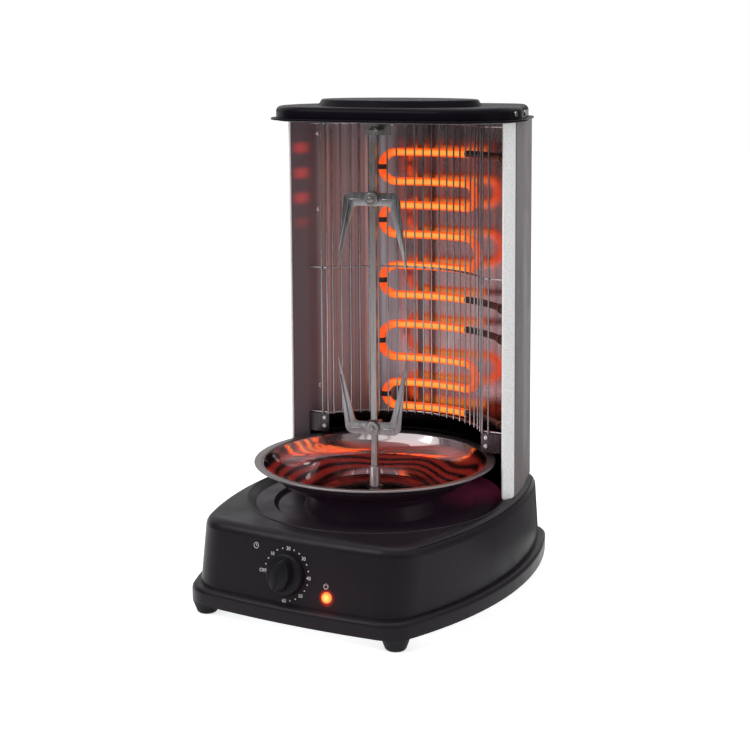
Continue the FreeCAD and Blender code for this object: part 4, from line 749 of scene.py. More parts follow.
@dataclass(frozen=True)
class Glow(Finish):
    """Heater tube that glows: hottest in the middle of its runs, redder at the ends."""

    hot: Colour = (1.0, 0.40, 0.055)
    red: Colour = (1.0, 0.085, 0.004)
    lit: float = 1.0
    cast: float = 2.2
    cooling_x: Span = (0.024, 0.054)
    edge_normal: Span = (0.30, 0.90)

    def write(self, skin: Skin) -> None:
        """Adds the nodes.

        Args:
            skin: the material being written.
        """
        grain = skin.effect(Effect.GRAIN, size=0.004)
        cooler = skin.remap(skin.math("ABSOLUTE", skin.split()["X"]), *self.cooling_x)
        edge = skin.remap(skin.math("ABSOLUTE", skin.split("Normal")["Z"]), *self.edge_normal)
        red = skin.math("MAXIMUM", cooler, edge)
        mottled = skin.math("ADD", red, skin.product(grain["Mask"], 0.12), clamp=True)
        skin.put("Emission Color", skin.blend(mottled, self.hot, self.red))
        level = skin.add("Mix", data_type="FLOAT")
        skin.feed(skin.add("LightPath").outputs["Is Camera Ray"], level.inputs["Factor"])
        level.inputs["A"].default_value = self.cast
        level.inputs["B"].default_value = self.lit
        skin.put("Emission Strength", level.outputs["Result"])
        skin.bump(grain["Height"], 0.00002)


@dataclass(frozen=True)
class LitLens(Finish):
    """Translucent lamp lens, brightest where the lamp stands behind it."""

    centre: Point = (0.0, 0.0, 0.0)
    reach: Span = (0.00232, 0.0058)
    core_colour: Colour = (1.0, 0.84, 0.20)
    rim_colour: Colour = (0.95, 0.040, 0.001)

    def write(self, skin: Skin) -> None:
        """Adds the nodes.

        Args:
            skin: the material being written.
        """
        rim = skin.remap(skin.distance(self.centre), *self.reach)
        skin.shine(skin.blend(rim, self.core_colour, self.rim_colour))
        skin.put("Specular IOR Level", 0.15)
        skin.bump(skin.effect(Effect.GRAIN, size=0.002)["Height"], 0.00003)


@dataclass(frozen=True)
class Ink(Finish):
    """Printed lettering, worn a little thin in places."""

    def write(self, skin: Skin) -> None:
        """Adds the nodes.

        Args:
            skin: the material being written.
        """
        thin = skin.effect(Effect.GRAIN, size=0.0004)["Mask"]
        skin.put("Base Color", skin.blend(thin, self.colour, shaded(self.colour, 0.82)))


class Paint(Enum):
    """Every finish on the grill."""

    HOUSING = HousingPlastic("housing_plastic", (0.0118, 0.0090, 0.0124), 0.30, grain=0.0007,
                             depth=0.000005, specular=0.11, dust=0.01)
    CAP = Moulded("cap_plastic", (0.0050, 0.0034, 0.0062), 0.26, grain=0.0007, depth=0.000004,
                  specular=0.035, dust=0.01)
    KNOB = Moulded("knob_plastic", (0.0080, 0.0070, 0.0088), 0.30, grain=0.0004, depth=0.000004,
                   specular=0.12)
    RUBBER = Moulded("foot_rubber", (0.012, 0.012, 0.014), 0.55, grain=0.0006, depth=0.00002,
                     specular=0.12)
    HOLDER = Moulded("black_plastic", (0.015, 0.015, 0.015), 0.42)
    ACETAL = Moulded("white_acetal", (0.74, 0.72, 0.66), 0.38, grain=0.0008)
    CERAMIC = Moulded("glazed_ceramic", (0.80, 0.78, 0.72), 0.22, grain=0.002, coat=0.4)
    SOOTED = Moulded("sooted_ceramic", (0.035, 0.026, 0.024), 0.4, grain=0.002)
    PANEL = Moulded("grey_panel_paint", (0.170, 0.145, 0.148), 0.40, grain=0.0012, specular=0.2)
    STRIP = Moulded("light_grey_strip", (0.84, 0.84, 0.84), 0.4, grain=0.0012, depth=0.0000005)
    BURNT = Moulded("heat_darkened_steel", (0.020, 0.016, 0.016), 0.5, grain=0.0009, depth=0.00002)
    FERRITE = Moulded("rotor_ferrite", (0.05, 0.05, 0.055), 0.55, depth=0.00002)
    ZINC = Metal("zinc_plate", (0.52, 0.53, 0.54), 0.36, pitch=0.0016)
    SCREW = Metal("screw_steel", (0.66, 0.66, 0.65), 0.24, pitch=0.0004)
    BRASS = Metal("turned_brass", (0.66, 0.46, 0.20), 0.3, lay=Lay.TURNED, pitch=0.0003)
    COPPER = Metal("enamelled_copper", (0.60, 0.26, 0.11), 0.32, lay=Lay.ACROSS, depth=0.00004)
    STEEL = Metal("brushed_steel", (0.30, 0.28, 0.28), 0.24, pitch=0.0005)
    FORK = Metal("stamped_steel", (0.27, 0.26, 0.27), 0.22, pitch=0.0007)
    STRAP = Metal("heater_strap_steel", (0.16, 0.14, 0.15), 0.45, pitch=0.001)
    MIRROR = ReflectorSheet("reflector_sheet", (0.32, 0.25, 0.265), 0.20, pitch=0.0040,
                            depth=0.000003, spread=0.06, ripple=0.00010)
    COLLAR = Metal("collar_sheet", (0.055, 0.045, 0.050), 0.18, pitch=0.0018, depth=0.000004,
                   spread=0.08, ripple=0.00010, edge=0.2)
    TOP = Metal("top_plate_steel", (0.26, 0.25, 0.25), 0.4, pitch=0.001, lay=Lay.ACROSS)
    WIRE = Metal("chromed_wire", (0.34, 0.32, 0.34), 0.18, pitch=0.002)
    TRAY = TrayMetal("tray_steel", (0.62, 0.55, 0.56), 0.06)
    GLOW = Glow("glowing_heater", (0.10, 0.02, 0.01), 0.5)
    LENS = LitLens("lamp_lens", (0.20, 0.03, 0.004), 0.16, centre=(0.0358, -0.1488, 0.0378))
    INK = Ink("print_ink", (0.58, 0.58, 0.58), 0.5)


NODES_IN: dict[Paint, str] = {
    Paint.HOUSING: "base_shell",
    Paint.CAP: "cap",
    Paint.KNOB: "timer_knob",
    Paint.RUBBER: "foot_front_left foot_front_right foot_rear_left foot_rear_right cord_inlet",
    Paint.HOLDER: "lamp_holder",
    Paint.ACETAL: "timer_case idler_gear",
    Paint.CERAMIC: "terminal_block",
    Paint.SOOTED: "heater_insulators",
    Paint.PANEL: "side_panel_left side_panel_right rear_cover",
    Paint.STRIP: "edge_strip_left edge_strip_right",
    Paint.BURNT: "heater_cold_ends heater_clips",
    Paint.FERRITE: "motor_rotor",
    Paint.ZINC: "base_plate motor_case motor_cover",
    Paint.SCREW: "foot_screws plate_screws motor_screws rear_screws wing_screws collar_screws "
                 "bracket_screws",
    Paint.BRASS: "timer_nut timer_shaft drive_bush output_gear",
    Paint.COPPER: "motor_coil",
    Paint.STEEL: "cap_screws drive_coupler spit_shaft upper_thumb_screw lower_thumb_screw "
                 "bearing_bush bearing_bracket",
    Paint.FORK: "upper_fork lower_fork",
    Paint.STRAP: "heater_strap",
    Paint.MIRROR: "reflector",
    Paint.COLLAR: "collar",
    Paint.TOP: "top_plate",
    Paint.WIRE: "guard_wires guard_rings",
    Paint.TRAY: "drip_tray",
    Paint.GLOW: "heater_upper heater_lower",
    Paint.LENS: "lamp_lens",
}


class PaintShop:
    """Makes each material once and puts it on pieces."""

    def __init__(self) -> None:
        """Starts with the shared effects and no material."""
        self.effects = EffectLibrary()
        self._made: dict[Paint, bpy.types.Material] = {}

    def material(self, paint: Paint) -> bpy.types.Material:
        """The material of a finish, made on first use.

        Args:
            paint: which finish.

        Returns:
            Its material.
        """
        if paint not in self._made:
            self._made[paint] = paint.value.make(self.effects)
        return self._made[paint]

    def dress_frame(self, nodes: dict[str, bpy.types.Object]) -> None:
        """Gives every node of the frame its finish.

        Args:
            nodes: the frame's objects by name.
        """
        paint_of = {name: paint for paint, names in NODES_IN.items() for name in names.split()}
        for name, piece in nodes.items():
            material = self.material(paint_of[name])
            for slot in piece.material_slots:
                slot.material = material
            LOG.info("dressed %s in %s", name, material.name)

    def finish(self, name: str, work: BMesh, body: str, paint: Paint,
               smooth_degrees: float = 35.0, turn: Optional[Matrix] = None) -> bpy.types.Object:
        """Turns a modelled bmesh into a dressed piece of the scene, with its place in its mesh.

        Args:
            name: the piece's name.
            work: the modelled bmesh in millimetres; it is freed.
            body: the body that the piece rides on.
            paint: its finish.
            smooth_degrees: edges flatter than this are shaded smooth.
            turn: place of the modelled shape, in millimetres.

        Returns:
            The new object.
        """
        if turn is not None:
            bmesh.ops.transform(work, matrix=turn, verts=work.verts)
        bmesh.ops.scale(work, vec=(MM, MM, MM), verts=work.verts)
        limit = math.radians(smooth_degrees)
        for face in work.faces:
            face.smooth = True
        for edge in work.edges:
            edge.smooth = len(edge.link_faces) == 2 and edge.calc_face_angle(0.0) < limit
        mesh = bpy.data.meshes.new(name)
        work.to_mesh(mesh)
        work.free()
        mesh.materials.append(self.material(paint))
        piece = add_object(name, mesh)
        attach(piece, body)
        LOG.info("built %s with %d faces on %s", name, len(mesh.polygons), body)
        return piece


# ------------------------------------------------------------------ shared modelling
def round_edges(work: BMesh, edges: Sequence[bmesh.types.BMEdge], width: float,
                segments: int) -> None:
    """Rounds edges with a bevel of a given width.

    Args:
        work: the bmesh.
        edges: the edges that are rounded.
        width: distance from the old edge to the bevel's border, in millimetres.
        segments: number of faces across the round.
    """
    bmesh.ops.bevel(work, geom=list(edges), offset=width, offset_type="OFFSET", segments=segments,
                    profile=0.5, affect="EDGES", material=-1, clamp_overlap=True)


def round_corners(work: BMesh, corners: Sequence[bmesh.types.BMVert], reach: float,
                  segments: int) -> None:
    """Rounds corners of a flat face or a line.

    Args:
        work: the bmesh.
        corners: the corners that are rounded, in one step.
        reach: how far the round reaches along the sides, 0 for none.
        segments: number of sides in the round.
    """
    if reach > 0.0:
        bmesh.ops.bevel(work, geom=list(corners), offset=reach, offset_type="OFFSET", segments=segments,
                        profile=0.5, affect="VERTICES", material=-1, clamp_overlap=True)


def outline_face(work: BMesh, points: Sequence[Span], rounds: Sequence[float]) -> bmesh.types.BMFace:
    """A flat face in the XZ plane from a few corners, each rounded by its own amount.

    Args:
        work: the bmesh, still empty.
        points: (x, z) corners in order.
        rounds: how far each corner's round reaches along its sides, 0 for a sharp one.

    Returns:
        The face.
    """
    made = [work.verts.new((x, 0.0, z)) for x, z in points]
    work.faces.new(made)
    for corner, reach in zip(made, rounds):
        round_corners(work, [corner], reach, 6)
    return work.faces[:][0]


def thicken(work: BMesh, face: bmesh.types.BMFace, way: Vector) -> None:
    """Extrudes a flat face into a closed block.

    Args:
        work: the bmesh.
        face: the flat face.
        way: how far and where the far side lies.
    """
    made = bmesh.ops.extrude_face_region(work, geom=[face], use_keep_orig=True)
    far = [item for item in made["geom"] if isinstance(item, bmesh.types.BMVert)]
    bmesh.ops.translate(work, vec=way, verts=far)
    bmesh.ops.recalc_face_normals(work, faces=work.faces)


# ------------------------------------------------------------------ housing
@dataclass
class MouldedBase:
    """An even skin over the housing's flange, and the low bead round the recess of its deck."""

    shop: PaintShop
    shell: bpy.types.Object
    foot_z: float = 12.0
    foot_lift: float = 0.2
    flange_top: float = 26.5
    flange_round: float = 4.5
    ledge: float = 9.0
    skin_t: float = 0.8
    proud: float = 0.06
    arc_steps: int = 9
    shortest_side: float = 0.2
    bead_radius: float = 119.3
    bead_half_width: float = 1.7
    bead_half_top: float = 0.765
    bead_rise: float = 0.8
    bead_depth: float = 0.7
    bead_round: float = 0.45
    bead_half_angle: float = 101.0
    bead_steps: int = 120
    deck_z: float = 84.5

    def outline(self) -> tuple[list[Vector], list[Vector]]:
        """Reads the flange's outline from the shell's foot.

        Returns:
            The outline's points in order, and the way outwards at each.
        """
        flat = [vert.co.to_2d() / MM for vert in self.shell.data.vertices
                if abs(vert.co.z / MM - self.foot_z) < 0.01]
        hull = [flat[index] for index in convex_hull_2d(flat)]
        line = [point for index, point in enumerate(hull)
                if (point - hull[index - 1]).length > self.shortest_side]
        outwards = []
        for index, point in enumerate(line):
            before = (point - line[index - 1]).normalized()
            after = (line[(index + 1) % len(line)] - point).normalized()
            along = (before + after).normalized()
            outwards.append(Vector((along.y, -along.x)))
        if sum(way.dot(point) for way, point in zip(outwards, line)) < 0.0:
            outwards = [-way for way in outwards]
        return line, outwards

    def section(self) -> list[Span]:
        """Draws the skin's section.

        Returns:
            Closed polygon of how far out from the outline and how high, in millimetres.
        """
        turns = [math.pi / 2 * step / self.arc_steps for step in range(self.arc_steps + 1)]

        def arc(radius: float) -> list[Span]:
            """The skin's outer or inner side round the flange's edge, from the wall to the top."""
            middle = self.flange_top - self.flange_round
            return [(radius * math.cos(turn) - self.flange_round, middle + radius * math.sin(turn))
                    for turn in turns]

        foot, top = self.foot_z + self.foot_lift, self.flange_top
        return [(self.proud, foot), *arc(self.flange_round + self.proud),
                (-self.ledge, top + self.proud), (-self.ledge, top - self.skin_t),
                *reversed(arc(self.flange_round - self.skin_t)), (-self.skin_t, foot)]

    def flange(self) -> None:
        """Lays an even skin over the flange's side, its round edge and its ledge."""
        line, outwards = self.outline()
        work = bmesh.new()
        spot = work.verts.layers.int.new("spot")
        ring = [work.verts.new((point.x, point.y, self.foot_z)) for point in line]
        for index, vert in enumerate(ring):
            vert[spot] = index
        first = [work.edges.new((ring[index - 1], ring[index])) for index in range(len(ring))]
        row = first
        for place, (away, height) in enumerate(self.section()):
            if place:
                grown = bmesh.ops.extrude_edge_only(work, edges=row)["geom"]
                row = [item for item in grown if isinstance(item, bmesh.types.BMEdge)]
                ring = [item for item in grown if isinstance(item, bmesh.types.BMVert)]
            for vert in ring:
                point = line[vert[spot]] + outwards[vert[spot]] * away
                vert.co = (point.x, point.y, height)
        bmesh.ops.bridge_loops(work, edges=first + row)
        bmesh.ops.recalc_face_normals(work, faces=work.faces)
        piece = self.shop.finish("flange_skin", work, "housing", Paint.HOUSING)

    def bead(self) -> None:
        """Sweeps the half-round bead round the front of the recess."""
        work = bmesh.new()
        side, top = self.bead_half_width, self.bead_half_top
        line = [work.verts.new((self.bead_radius + x, 0.0, self.deck_z + z)) for x, z in
                ((-side, -self.bead_depth), (-side, 0.0), (-top, self.bead_rise), (top, self.bead_rise),
                 (side, 0.0), (side, -self.bead_depth))]
        work.faces.new(line)
        for vert in line[1:5]:
            round_corners(work, [vert], self.bead_round, 3)
        start = Matrix.Rotation(math.radians(-90.0 - self.bead_half_angle), 3, "Z")
        bmesh.ops.rotate(work, cent=(0, 0, 0), matrix=start, verts=work.verts)
        bmesh.ops.spin(work, geom=[*work.verts, *work.edges, *work.faces], cent=(0, 0, 0), axis=UP,
                       angle=math.radians(2 * self.bead_half_angle), steps=self.bead_steps,
                       use_merge=False)
        bmesh.ops.recalc_face_normals(work, faces=work.faces)
        piece = self.shop.finish("deck_bead", work, "housing", Paint.HOUSING, 40.0)

    def build(self) -> None:
        """Builds the flange's skin and the bead."""
        self.flange()
        self.bead()


# ------------------------------------------------------------------ front face
@dataclass
class FrontFace:
    """The bowed, leaning front wall of the housing, in millimetres."""

    low_y: float = -152.7
    low_z: float = 22.5
    setback: float = 11.7
    height: float = 62.0
    bow_radius: float = 852.0
    proud: float = 0.12
    dial: Span = (-5.7, 51.0)

    def lean(self) -> float:
        """Angle of the wall from upright, in radians."""
        return math.atan2(self.setback, self.height)

    def spot(self, x: float, z: float, out: float = 0.0) -> Vector:
        """A point on the wall, or off it by a distance.

        Args:
            x: place across the wall.
            z: height.
            out: distance in front of the wall.

        Returns:
            The point, in millimetres.
        """
        y = self.low_y + self.setback * (z - self.low_z) / self.height
        y += self.bow_radius - math.sqrt(self.bow_radius ** 2 - x ** 2)
        return Vector((x, y - out * math.cos(self.lean()), z + out * math.sin(self.lean())))

    def lay(self, work: BMesh, x: float, z: float) -> None:
        """Lays a flat print, drawn in XY about the origin, on the wall.

        Args:
            work: the print, in millimetres.
            x: place of its origin across the wall.
            z: height of its origin.
        """
        for vert in work.verts:
            across, rise = vert.co.x, vert.co.y
            vert.co = self.spot(x + across, z + rise * math.cos(self.lean()), self.proud + vert.co.z)


@dataclass
class ControlPanel:
    """Printed dial with its marks, and the two small signs."""

    shop: PaintShop
    wall: FrontFace
    ring_radius: float = 22.2
    digit_height: float = 3.1
    digit_weight: float = 0.012
    word_shift: float = 1.6
    stroke: float = 0.25
    dot_radius: float = 0.66
    clock_spot: Span = (-38.7, 70.5)
    power_spot: Span = (33.7, 46.8)
    sign_radius: float = 2.4
    sign_steps: int = 28
    labels: Sequence[tuple[str, float]] = (
        ("OFF", 180.0), ("10", 135.0), ("20", 90.0), ("30", 45.0), ("40", 0.0), ("50", -45.0),
        ("60", -90.0))

    def word(self, text: str) -> BMesh:
        """Flat lettering centred on the origin, at the dial's letter height.

        Args:
            text: the number or word.

        Returns:
            Its bmesh, in millimetres.
        """
        curve = bpy.data.curves.new("lettering", "FONT")
        curve.body = text
        curve.align_x = "CENTER"
        curve.align_y = "CENTER"
        curve.offset = self.digit_weight
        holder = add_object("lettering", curve)
        bpy.context.view_layer.update()
        mesh = bpy.data.meshes.new_from_object(holder)
        work = bmesh.new()
        work.from_mesh(mesh)
        bpy.data.objects.remove(holder)
        bpy.data.curves.remove(curve)
        bpy.data.meshes.remove(mesh)
        heights = [vert.co.y for vert in work.verts]
        size = self.digit_height / (max(heights) - min(heights))
        middle = (max(heights) + min(heights)) / 2
        bmesh.ops.translate(work, vec=(0.0, -middle, 0.0), verts=work.verts)
        bmesh.ops.scale(work, vec=(size, size, 1.0), verts=work.verts)
        return work

    def ribbon(self, radius: float, start: float, sweep: float) -> BMesh:
        """A flat arc of one stroke's width about the origin.

        Args:
            radius: radius of its middle line.
            start: angle of its start from +X, in degrees.
            sweep: angle it covers, in degrees.

        Returns:
            Its bmesh.
        """
        work = bmesh.new()
        ends = [work.verts.new((radius + off, 0.0, 0.0)) for off in (-self.stroke, self.stroke)]
        edge = work.edges.new(ends)
        bmesh.ops.rotate(work, verts=ends, cent=(0, 0, 0),
                         matrix=Matrix.Rotation(math.radians(start), 3, "Z"))
        bmesh.ops.spin(work, geom=[*ends, edge], cent=(0, 0, 0), axis=UP, angle=math.radians(sweep),
                       steps=self.sign_steps, use_merge=abs(sweep) >= 360.0)
        return work

    def add_stroke(self, work: BMesh, start: Span, end: Span) -> None:
        """Adds a straight stroke to a flat sign.

        Args:
            work: the sign.
            start: one end.
            end: the other end.
        """
        a, b = Vector((*start, 0.0)), Vector((*end, 0.0))
        side = (b - a).normalized().cross(UP) * self.stroke
        work.faces.new([work.verts.new(point) for point in (a - side, a + side, b + side, b - side)])

    def printed(self, name: str, work: BMesh, x: float, z: float) -> None:
        """Lays one flat mark on the wall and dresses it.

        Args:
            name: the piece's name.
            work: the mark.
            x: its place across the wall.
            z: its height.
        """
        bmesh.ops.recalc_face_normals(work, faces=work.faces)
        for face in work.faces:
            if face.normal.z < 0.0:
                face.normal_flip()
        self.wall.lay(work, x, z)
        piece = self.shop.finish(name, work, "housing", Paint.INK)

    def dots(self) -> BMesh:
        """The dots between the dial's numbers.

        Returns:
            Their bmesh, about the dial's middle.
        """
        work = bmesh.new()
        for step in range(-6, 13):
            if step % 3 == 0:
                continue
            turn = math.radians(step * 15.0)
            spot = Vector((math.cos(turn), math.sin(turn), 0.0)) * self.ring_radius
            bmesh.ops.create_circle(work, cap_ends=True, segments=16, radius=self.dot_radius,
                                    matrix=Matrix.Translation(spot))
        return work

    def build(self) -> None:
        """Prints the dial and the signs."""
        lean = math.cos(self.wall.lean())
        for text, degrees in self.labels:
            turn = math.radians(degrees)
            reach = self.ring_radius + (self.word_shift if text == "OFF" else 0.0)
            x = self.wall.dial[0] + reach * math.cos(turn)
            z = self.wall.dial[1] + self.ring_radius * math.sin(turn) * lean
            self.printed("dial_mark_" + text, self.word(text), x, z)
        self.printed("dial_dots", self.dots(), *self.wall.dial)
        clock = self.ribbon(self.sign_radius, 0.0, 360.0)
        self.add_stroke(clock, (0.0, -0.2), (0.0, 1.6))
        self.add_stroke(clock, (-0.2, 0.0), (1.2, 0.0))
        self.printed("timer_sign", clock, *self.clock_spot)
        power = self.ribbon(self.sign_radius * 0.85, 125.0, 290.0)
        self.add_stroke(power, (0.0, 0.5), (0.0, self.sign_radius * 1.15))
        self.printed("power_sign", power, *self.power_spot)


@dataclass
class TimerKnob:
    """Round knob with a leaf-shaped grip that rises to a soft ridge and points at the dial."""

    shop: PaintShop
    wall: FrontFace
    rest_turn: float = -12.0
    disc_radius: float = 18.0
    disc_top_radius: float = 17.2
    disc_t: float = 5.0
    disc_middle: float = 3.4
    disc_round: float = 1.3
    grip_radius: float = 15.2
    grip_steps: int = 48
    grip_foot: float = 5.0
    grip_width: float = 0.60
    grip_taper: float = 0.42
    levels: Sequence[Point] = ((7.0, 0.97, 0.93), (2.6, 0.80, 0.95), (1.2, 0.55, 0.96))

    def grip(self, work: BMesh) -> None:
        """Raises the grip out of the disc, one level at a time.

        Args:
            work: the knob's bmesh.
        """
        foot = Matrix.Translation((0.0, 0.0, self.grip_foot))
        ring = bmesh.ops.create_circle(work, cap_ends=True, segments=self.grip_steps,
                                       radius=self.grip_radius, matrix=foot)["verts"]
        for vert in ring:
            towards_point = max(0.0, vert.co.y / self.grip_radius)
            vert.co.x *= self.grip_width * (1.0 - self.grip_taper * towards_point ** 1.5)
        face = next(leaf for leaf in ring[0].link_faces if len(leaf.verts) == self.grip_steps)
        for rise, wide, long in self.levels:
            grown = bmesh.ops.extrude_face_region(work, geom=[face])["geom"]
            verts = [item for item in grown if isinstance(item, bmesh.types.BMVert)]
            face = next(item for item in grown if isinstance(item, bmesh.types.BMFace))
            bmesh.ops.translate(work, vec=(0.0, 0.0, rise), verts=verts)
            bmesh.ops.scale(work, vec=(wide, long, 1.0), verts=verts)
        hidden = [item for item in work.faces if len(item.verts) == self.grip_steps
                  and abs(item.calc_center_median().z - self.grip_foot) < 0.01]
        bmesh.ops.delete(work, geom=hidden, context="FACES_ONLY")

    def build(self) -> None:
        """Builds the knob on its shaft."""
        work = bmesh.new()
        bmesh.ops.create_cone(work, cap_ends=True, segments=96, radius1=self.disc_radius,
                              radius2=self.disc_top_radius, depth=self.disc_t,
                              matrix=Matrix.Translation((0.0, 0.0, self.disc_middle)))
        top = [edge for edge in work.edges if all(vert.co.z > self.disc_middle for vert in edge.verts)]
        round_edges(work, top, self.disc_round, 4)
        self.grip(work)
        bmesh.ops.recalc_face_normals(work, faces=work.faces)
        place = Matrix.Translation(self.wall.spot(*self.wall.dial))
        turn = Matrix.Rotation(math.pi / 2 - self.wall.lean(), 4, "X")
        rest = Matrix.Rotation(math.radians(self.rest_turn), 4, "Z")
        piece = self.shop.finish("dial_knob", work, "timer", Paint.KNOB, 40.0, place @ turn @ rest)
        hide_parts("timer_knob")


# ------------------------------------------------------------------ tray
@dataclass
class DripTray:
    """Spun dish with a low raised middle, a swept wall and a flat rim with a rolled edge."""

    shop: PaintShop
    thickness: float = 0.8
    steps: int = 144
    outline: Sequence[Point] = (
        (8.6, 92.0, 0.0), (30.0, 91.7, 6.0), (44.0, 89.6, 4.0), (50.0, 89.3, 4.0),
        (91.9, 102.8, 12.0), (103.9, 118.9, 2.0), (110.6, 119.6, 0.6), (111.9, 118.8, 0.5),
        (111.7, 117.5, 0.4), (110.7, 117.3, 0.0))

    def build(self) -> None:
        """Spins the dish from its section of (radius, height, round) corners."""
        work = bmesh.new()
        line = [work.verts.new((radius, 0.0, z)) for radius, z, _ in self.outline]
        for start, end in zip(line, line[1:]):
            work.edges.new((start, end))
        for vert, (_, _, reach) in zip(line, self.outline):
            round_corners(work, [vert], reach, 6)
        bmesh.ops.spin(work, geom=[*work.verts, *work.edges], cent=(0, 0, 0), axis=UP,
                       angle=FULL_TURN, steps=self.steps, use_merge=True)
        bmesh.ops.remove_doubles(work, verts=work.verts, dist=0.001)
        bmesh.ops.recalc_face_normals(work, faces=work.faces)
        innermost = min(work.faces, key=lambda face: face.calc_center_median().to_2d().length)
        if innermost.normal.z < 0.0:
            bmesh.ops.reverse_faces(work, faces=work.faces)
        bmesh.ops.solidify(work, geom=list(work.faces), thickness=self.thickness)
        piece = self.shop.finish("spun_tray", work, "tray", Paint.TRAY, 30.0)
        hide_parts("drip_tray")


# ------------------------------------------------------------------ skewer
@dataclass
class SkewerFork:
    """Stamped fork: a bar over two tapering prongs, with pressed ribs and a square hub."""

    shop: PaintShop
    name: str
    node: str
    height: float
    points_down: bool
    rest_turn: float = 12.0
    plate_front: float = -6.0
    plate_t: float = 2.0
    plate_round: float = 0.7
    corner_rounds: Point = (6.5, 0.5, 3.0)
    half_span: float = 26.0
    bar_half: float = 6.0
    prong_width: float = 9.0
    flare: float = 7.0
    prong_length: float = 62.0
    hub_half: float = 6.0
    hub_round: float = 0.9
    bore_half: float = 2.9
    rib_half: float = 1.5
    rib_rise: float = 0.7
    rib_inner_x: float = 9.5
    rib_low_z: float = 4.0

    def plate(self, work: BMesh) -> None:
        """Adds the stamped plate with its rounded border.

        Args:
            work: the fork's bmesh.
        """
        tip_x, tip_z = self.half_span + self.flare, self.bar_half + self.prong_length
        inner = self.half_span - self.prong_width
        right = [(self.half_span, -self.bar_half), (tip_x, tip_z), (inner, self.bar_half)]
        left = [(-x, z) for x, z in reversed(right)]
        face = outline_face(work, right + left, self.corner_rounds + self.corner_rounds[::-1])
        bmesh.ops.translate(work, vec=(0.0, self.plate_front, 0.0), verts=work.verts)
        thicken(work, face, Vector((0.0, self.plate_t, 0.0)))
        border = [edge for edge in work.edges
                  if len(edge.link_faces) == 2 and edge.calc_face_angle(0.0) > 1.2
                  and edge.verts[0].co.y == edge.verts[1].co.y]
        round_edges(work, border, self.plate_round, 3)

    def rib(self, work: BMesh, start: Span, end: Span) -> None:
        """Adds one pressed rib with round ends along the front of the plate.

        Args:
            work: the fork's bmesh.
            start: one end in the plate's plane, (x, z).
            end: the other end.
        """
        first, last = (Vector((x, self.plate_front, z)) for x, z in (start, end))
        way = last - first
        verts = bmesh.ops.create_uvsphere(work, u_segments=16, v_segments=12, radius=1.0)["verts"]
        half = way.length / 2 - self.rib_half
        for vert in verts:
            shift = half if vert.co.z > 0.01 else -half if vert.co.z < -0.01 else 0.0
            x, y, z = vert.co
            vert.co = (x * self.rib_half, y * self.rib_rise, z * self.rib_half + shift)
        turn = way.to_track_quat("Z", "Y").to_matrix().to_4x4()
        bmesh.ops.transform(work, matrix=Matrix.Translation((first + last) / 2) @ turn, verts=verts)

    def ribs(self, work: BMesh) -> None:
        """Adds the ribs of the bar and of the prongs.

        Args:
            work: the fork's bmesh.
        """
        prong_x = self.half_span - self.prong_width * 0.42
        tip_x = self.half_span + self.flare * 0.78
        for side in (-1.0, 1.0):
            self.rib(work, (side * self.rib_inner_x, 0.0), (side * (prong_x - 1.0), 0.0))
            self.rib(work, (side * prong_x, self.rib_low_z), (side * tip_x, self.prong_length * 0.80))

    def hub(self, work: BMesh) -> None:
        """Adds the square hub with its bore and rounded corners.

        Args:
            work: the fork's bmesh.
        """
        hub = bmesh.new()
        rims = []
        for half in (self.hub_half, self.bore_half):
            for z in (-self.bar_half, self.bar_half):
                ring = [hub.verts.new((x * half, y * half, z))
                        for x, y in ((-1, -1), (1, -1), (1, 1), (-1, 1))]
                rims.append([hub.edges.new((ring[i], ring[(i + 1) % 4])) for i in range(4)])
        outer_low, outer_high, inner_low, inner_high = rims
        for one, other in ((outer_low, outer_high), (inner_low, inner_high), (outer_low, inner_low),
                           (outer_high, inner_high)):
            bmesh.ops.bridge_loops(hub, edges=one + other)
        bmesh.ops.recalc_face_normals(hub, faces=hub.faces)
        outer = [edge for edge in hub.edges if edge.calc_face_angle(0.0) > 1.0
                 and all(vert.co.to_2d().length > self.hub_half for vert in edge.verts)]
        round_edges(hub, outer, self.hub_round, 4)
        mesh = bpy.data.meshes.new("hub")
        hub.to_mesh(mesh)
        hub.free()
        work.from_mesh(mesh)
        bpy.data.meshes.remove(mesh)

    def build(self) -> None:
        """Builds the fork on the skewer."""
        work = bmesh.new()
        self.plate(work)
        self.ribs(work)
        self.hub(work)
        if self.points_down:
            bmesh.ops.scale(work, vec=(1.0, 1.0, -1.0), verts=work.verts)
            bmesh.ops.reverse_faces(work, faces=work.faces)
        turn = Matrix.Rotation(math.radians(self.rest_turn), 4, "Z")
        place = turn @ Matrix.Translation((0.0, 0.0, self.height))
        piece = self.shop.finish(self.name, work, self.node, Paint.FORK, 32.0, place)
        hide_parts(self.node)


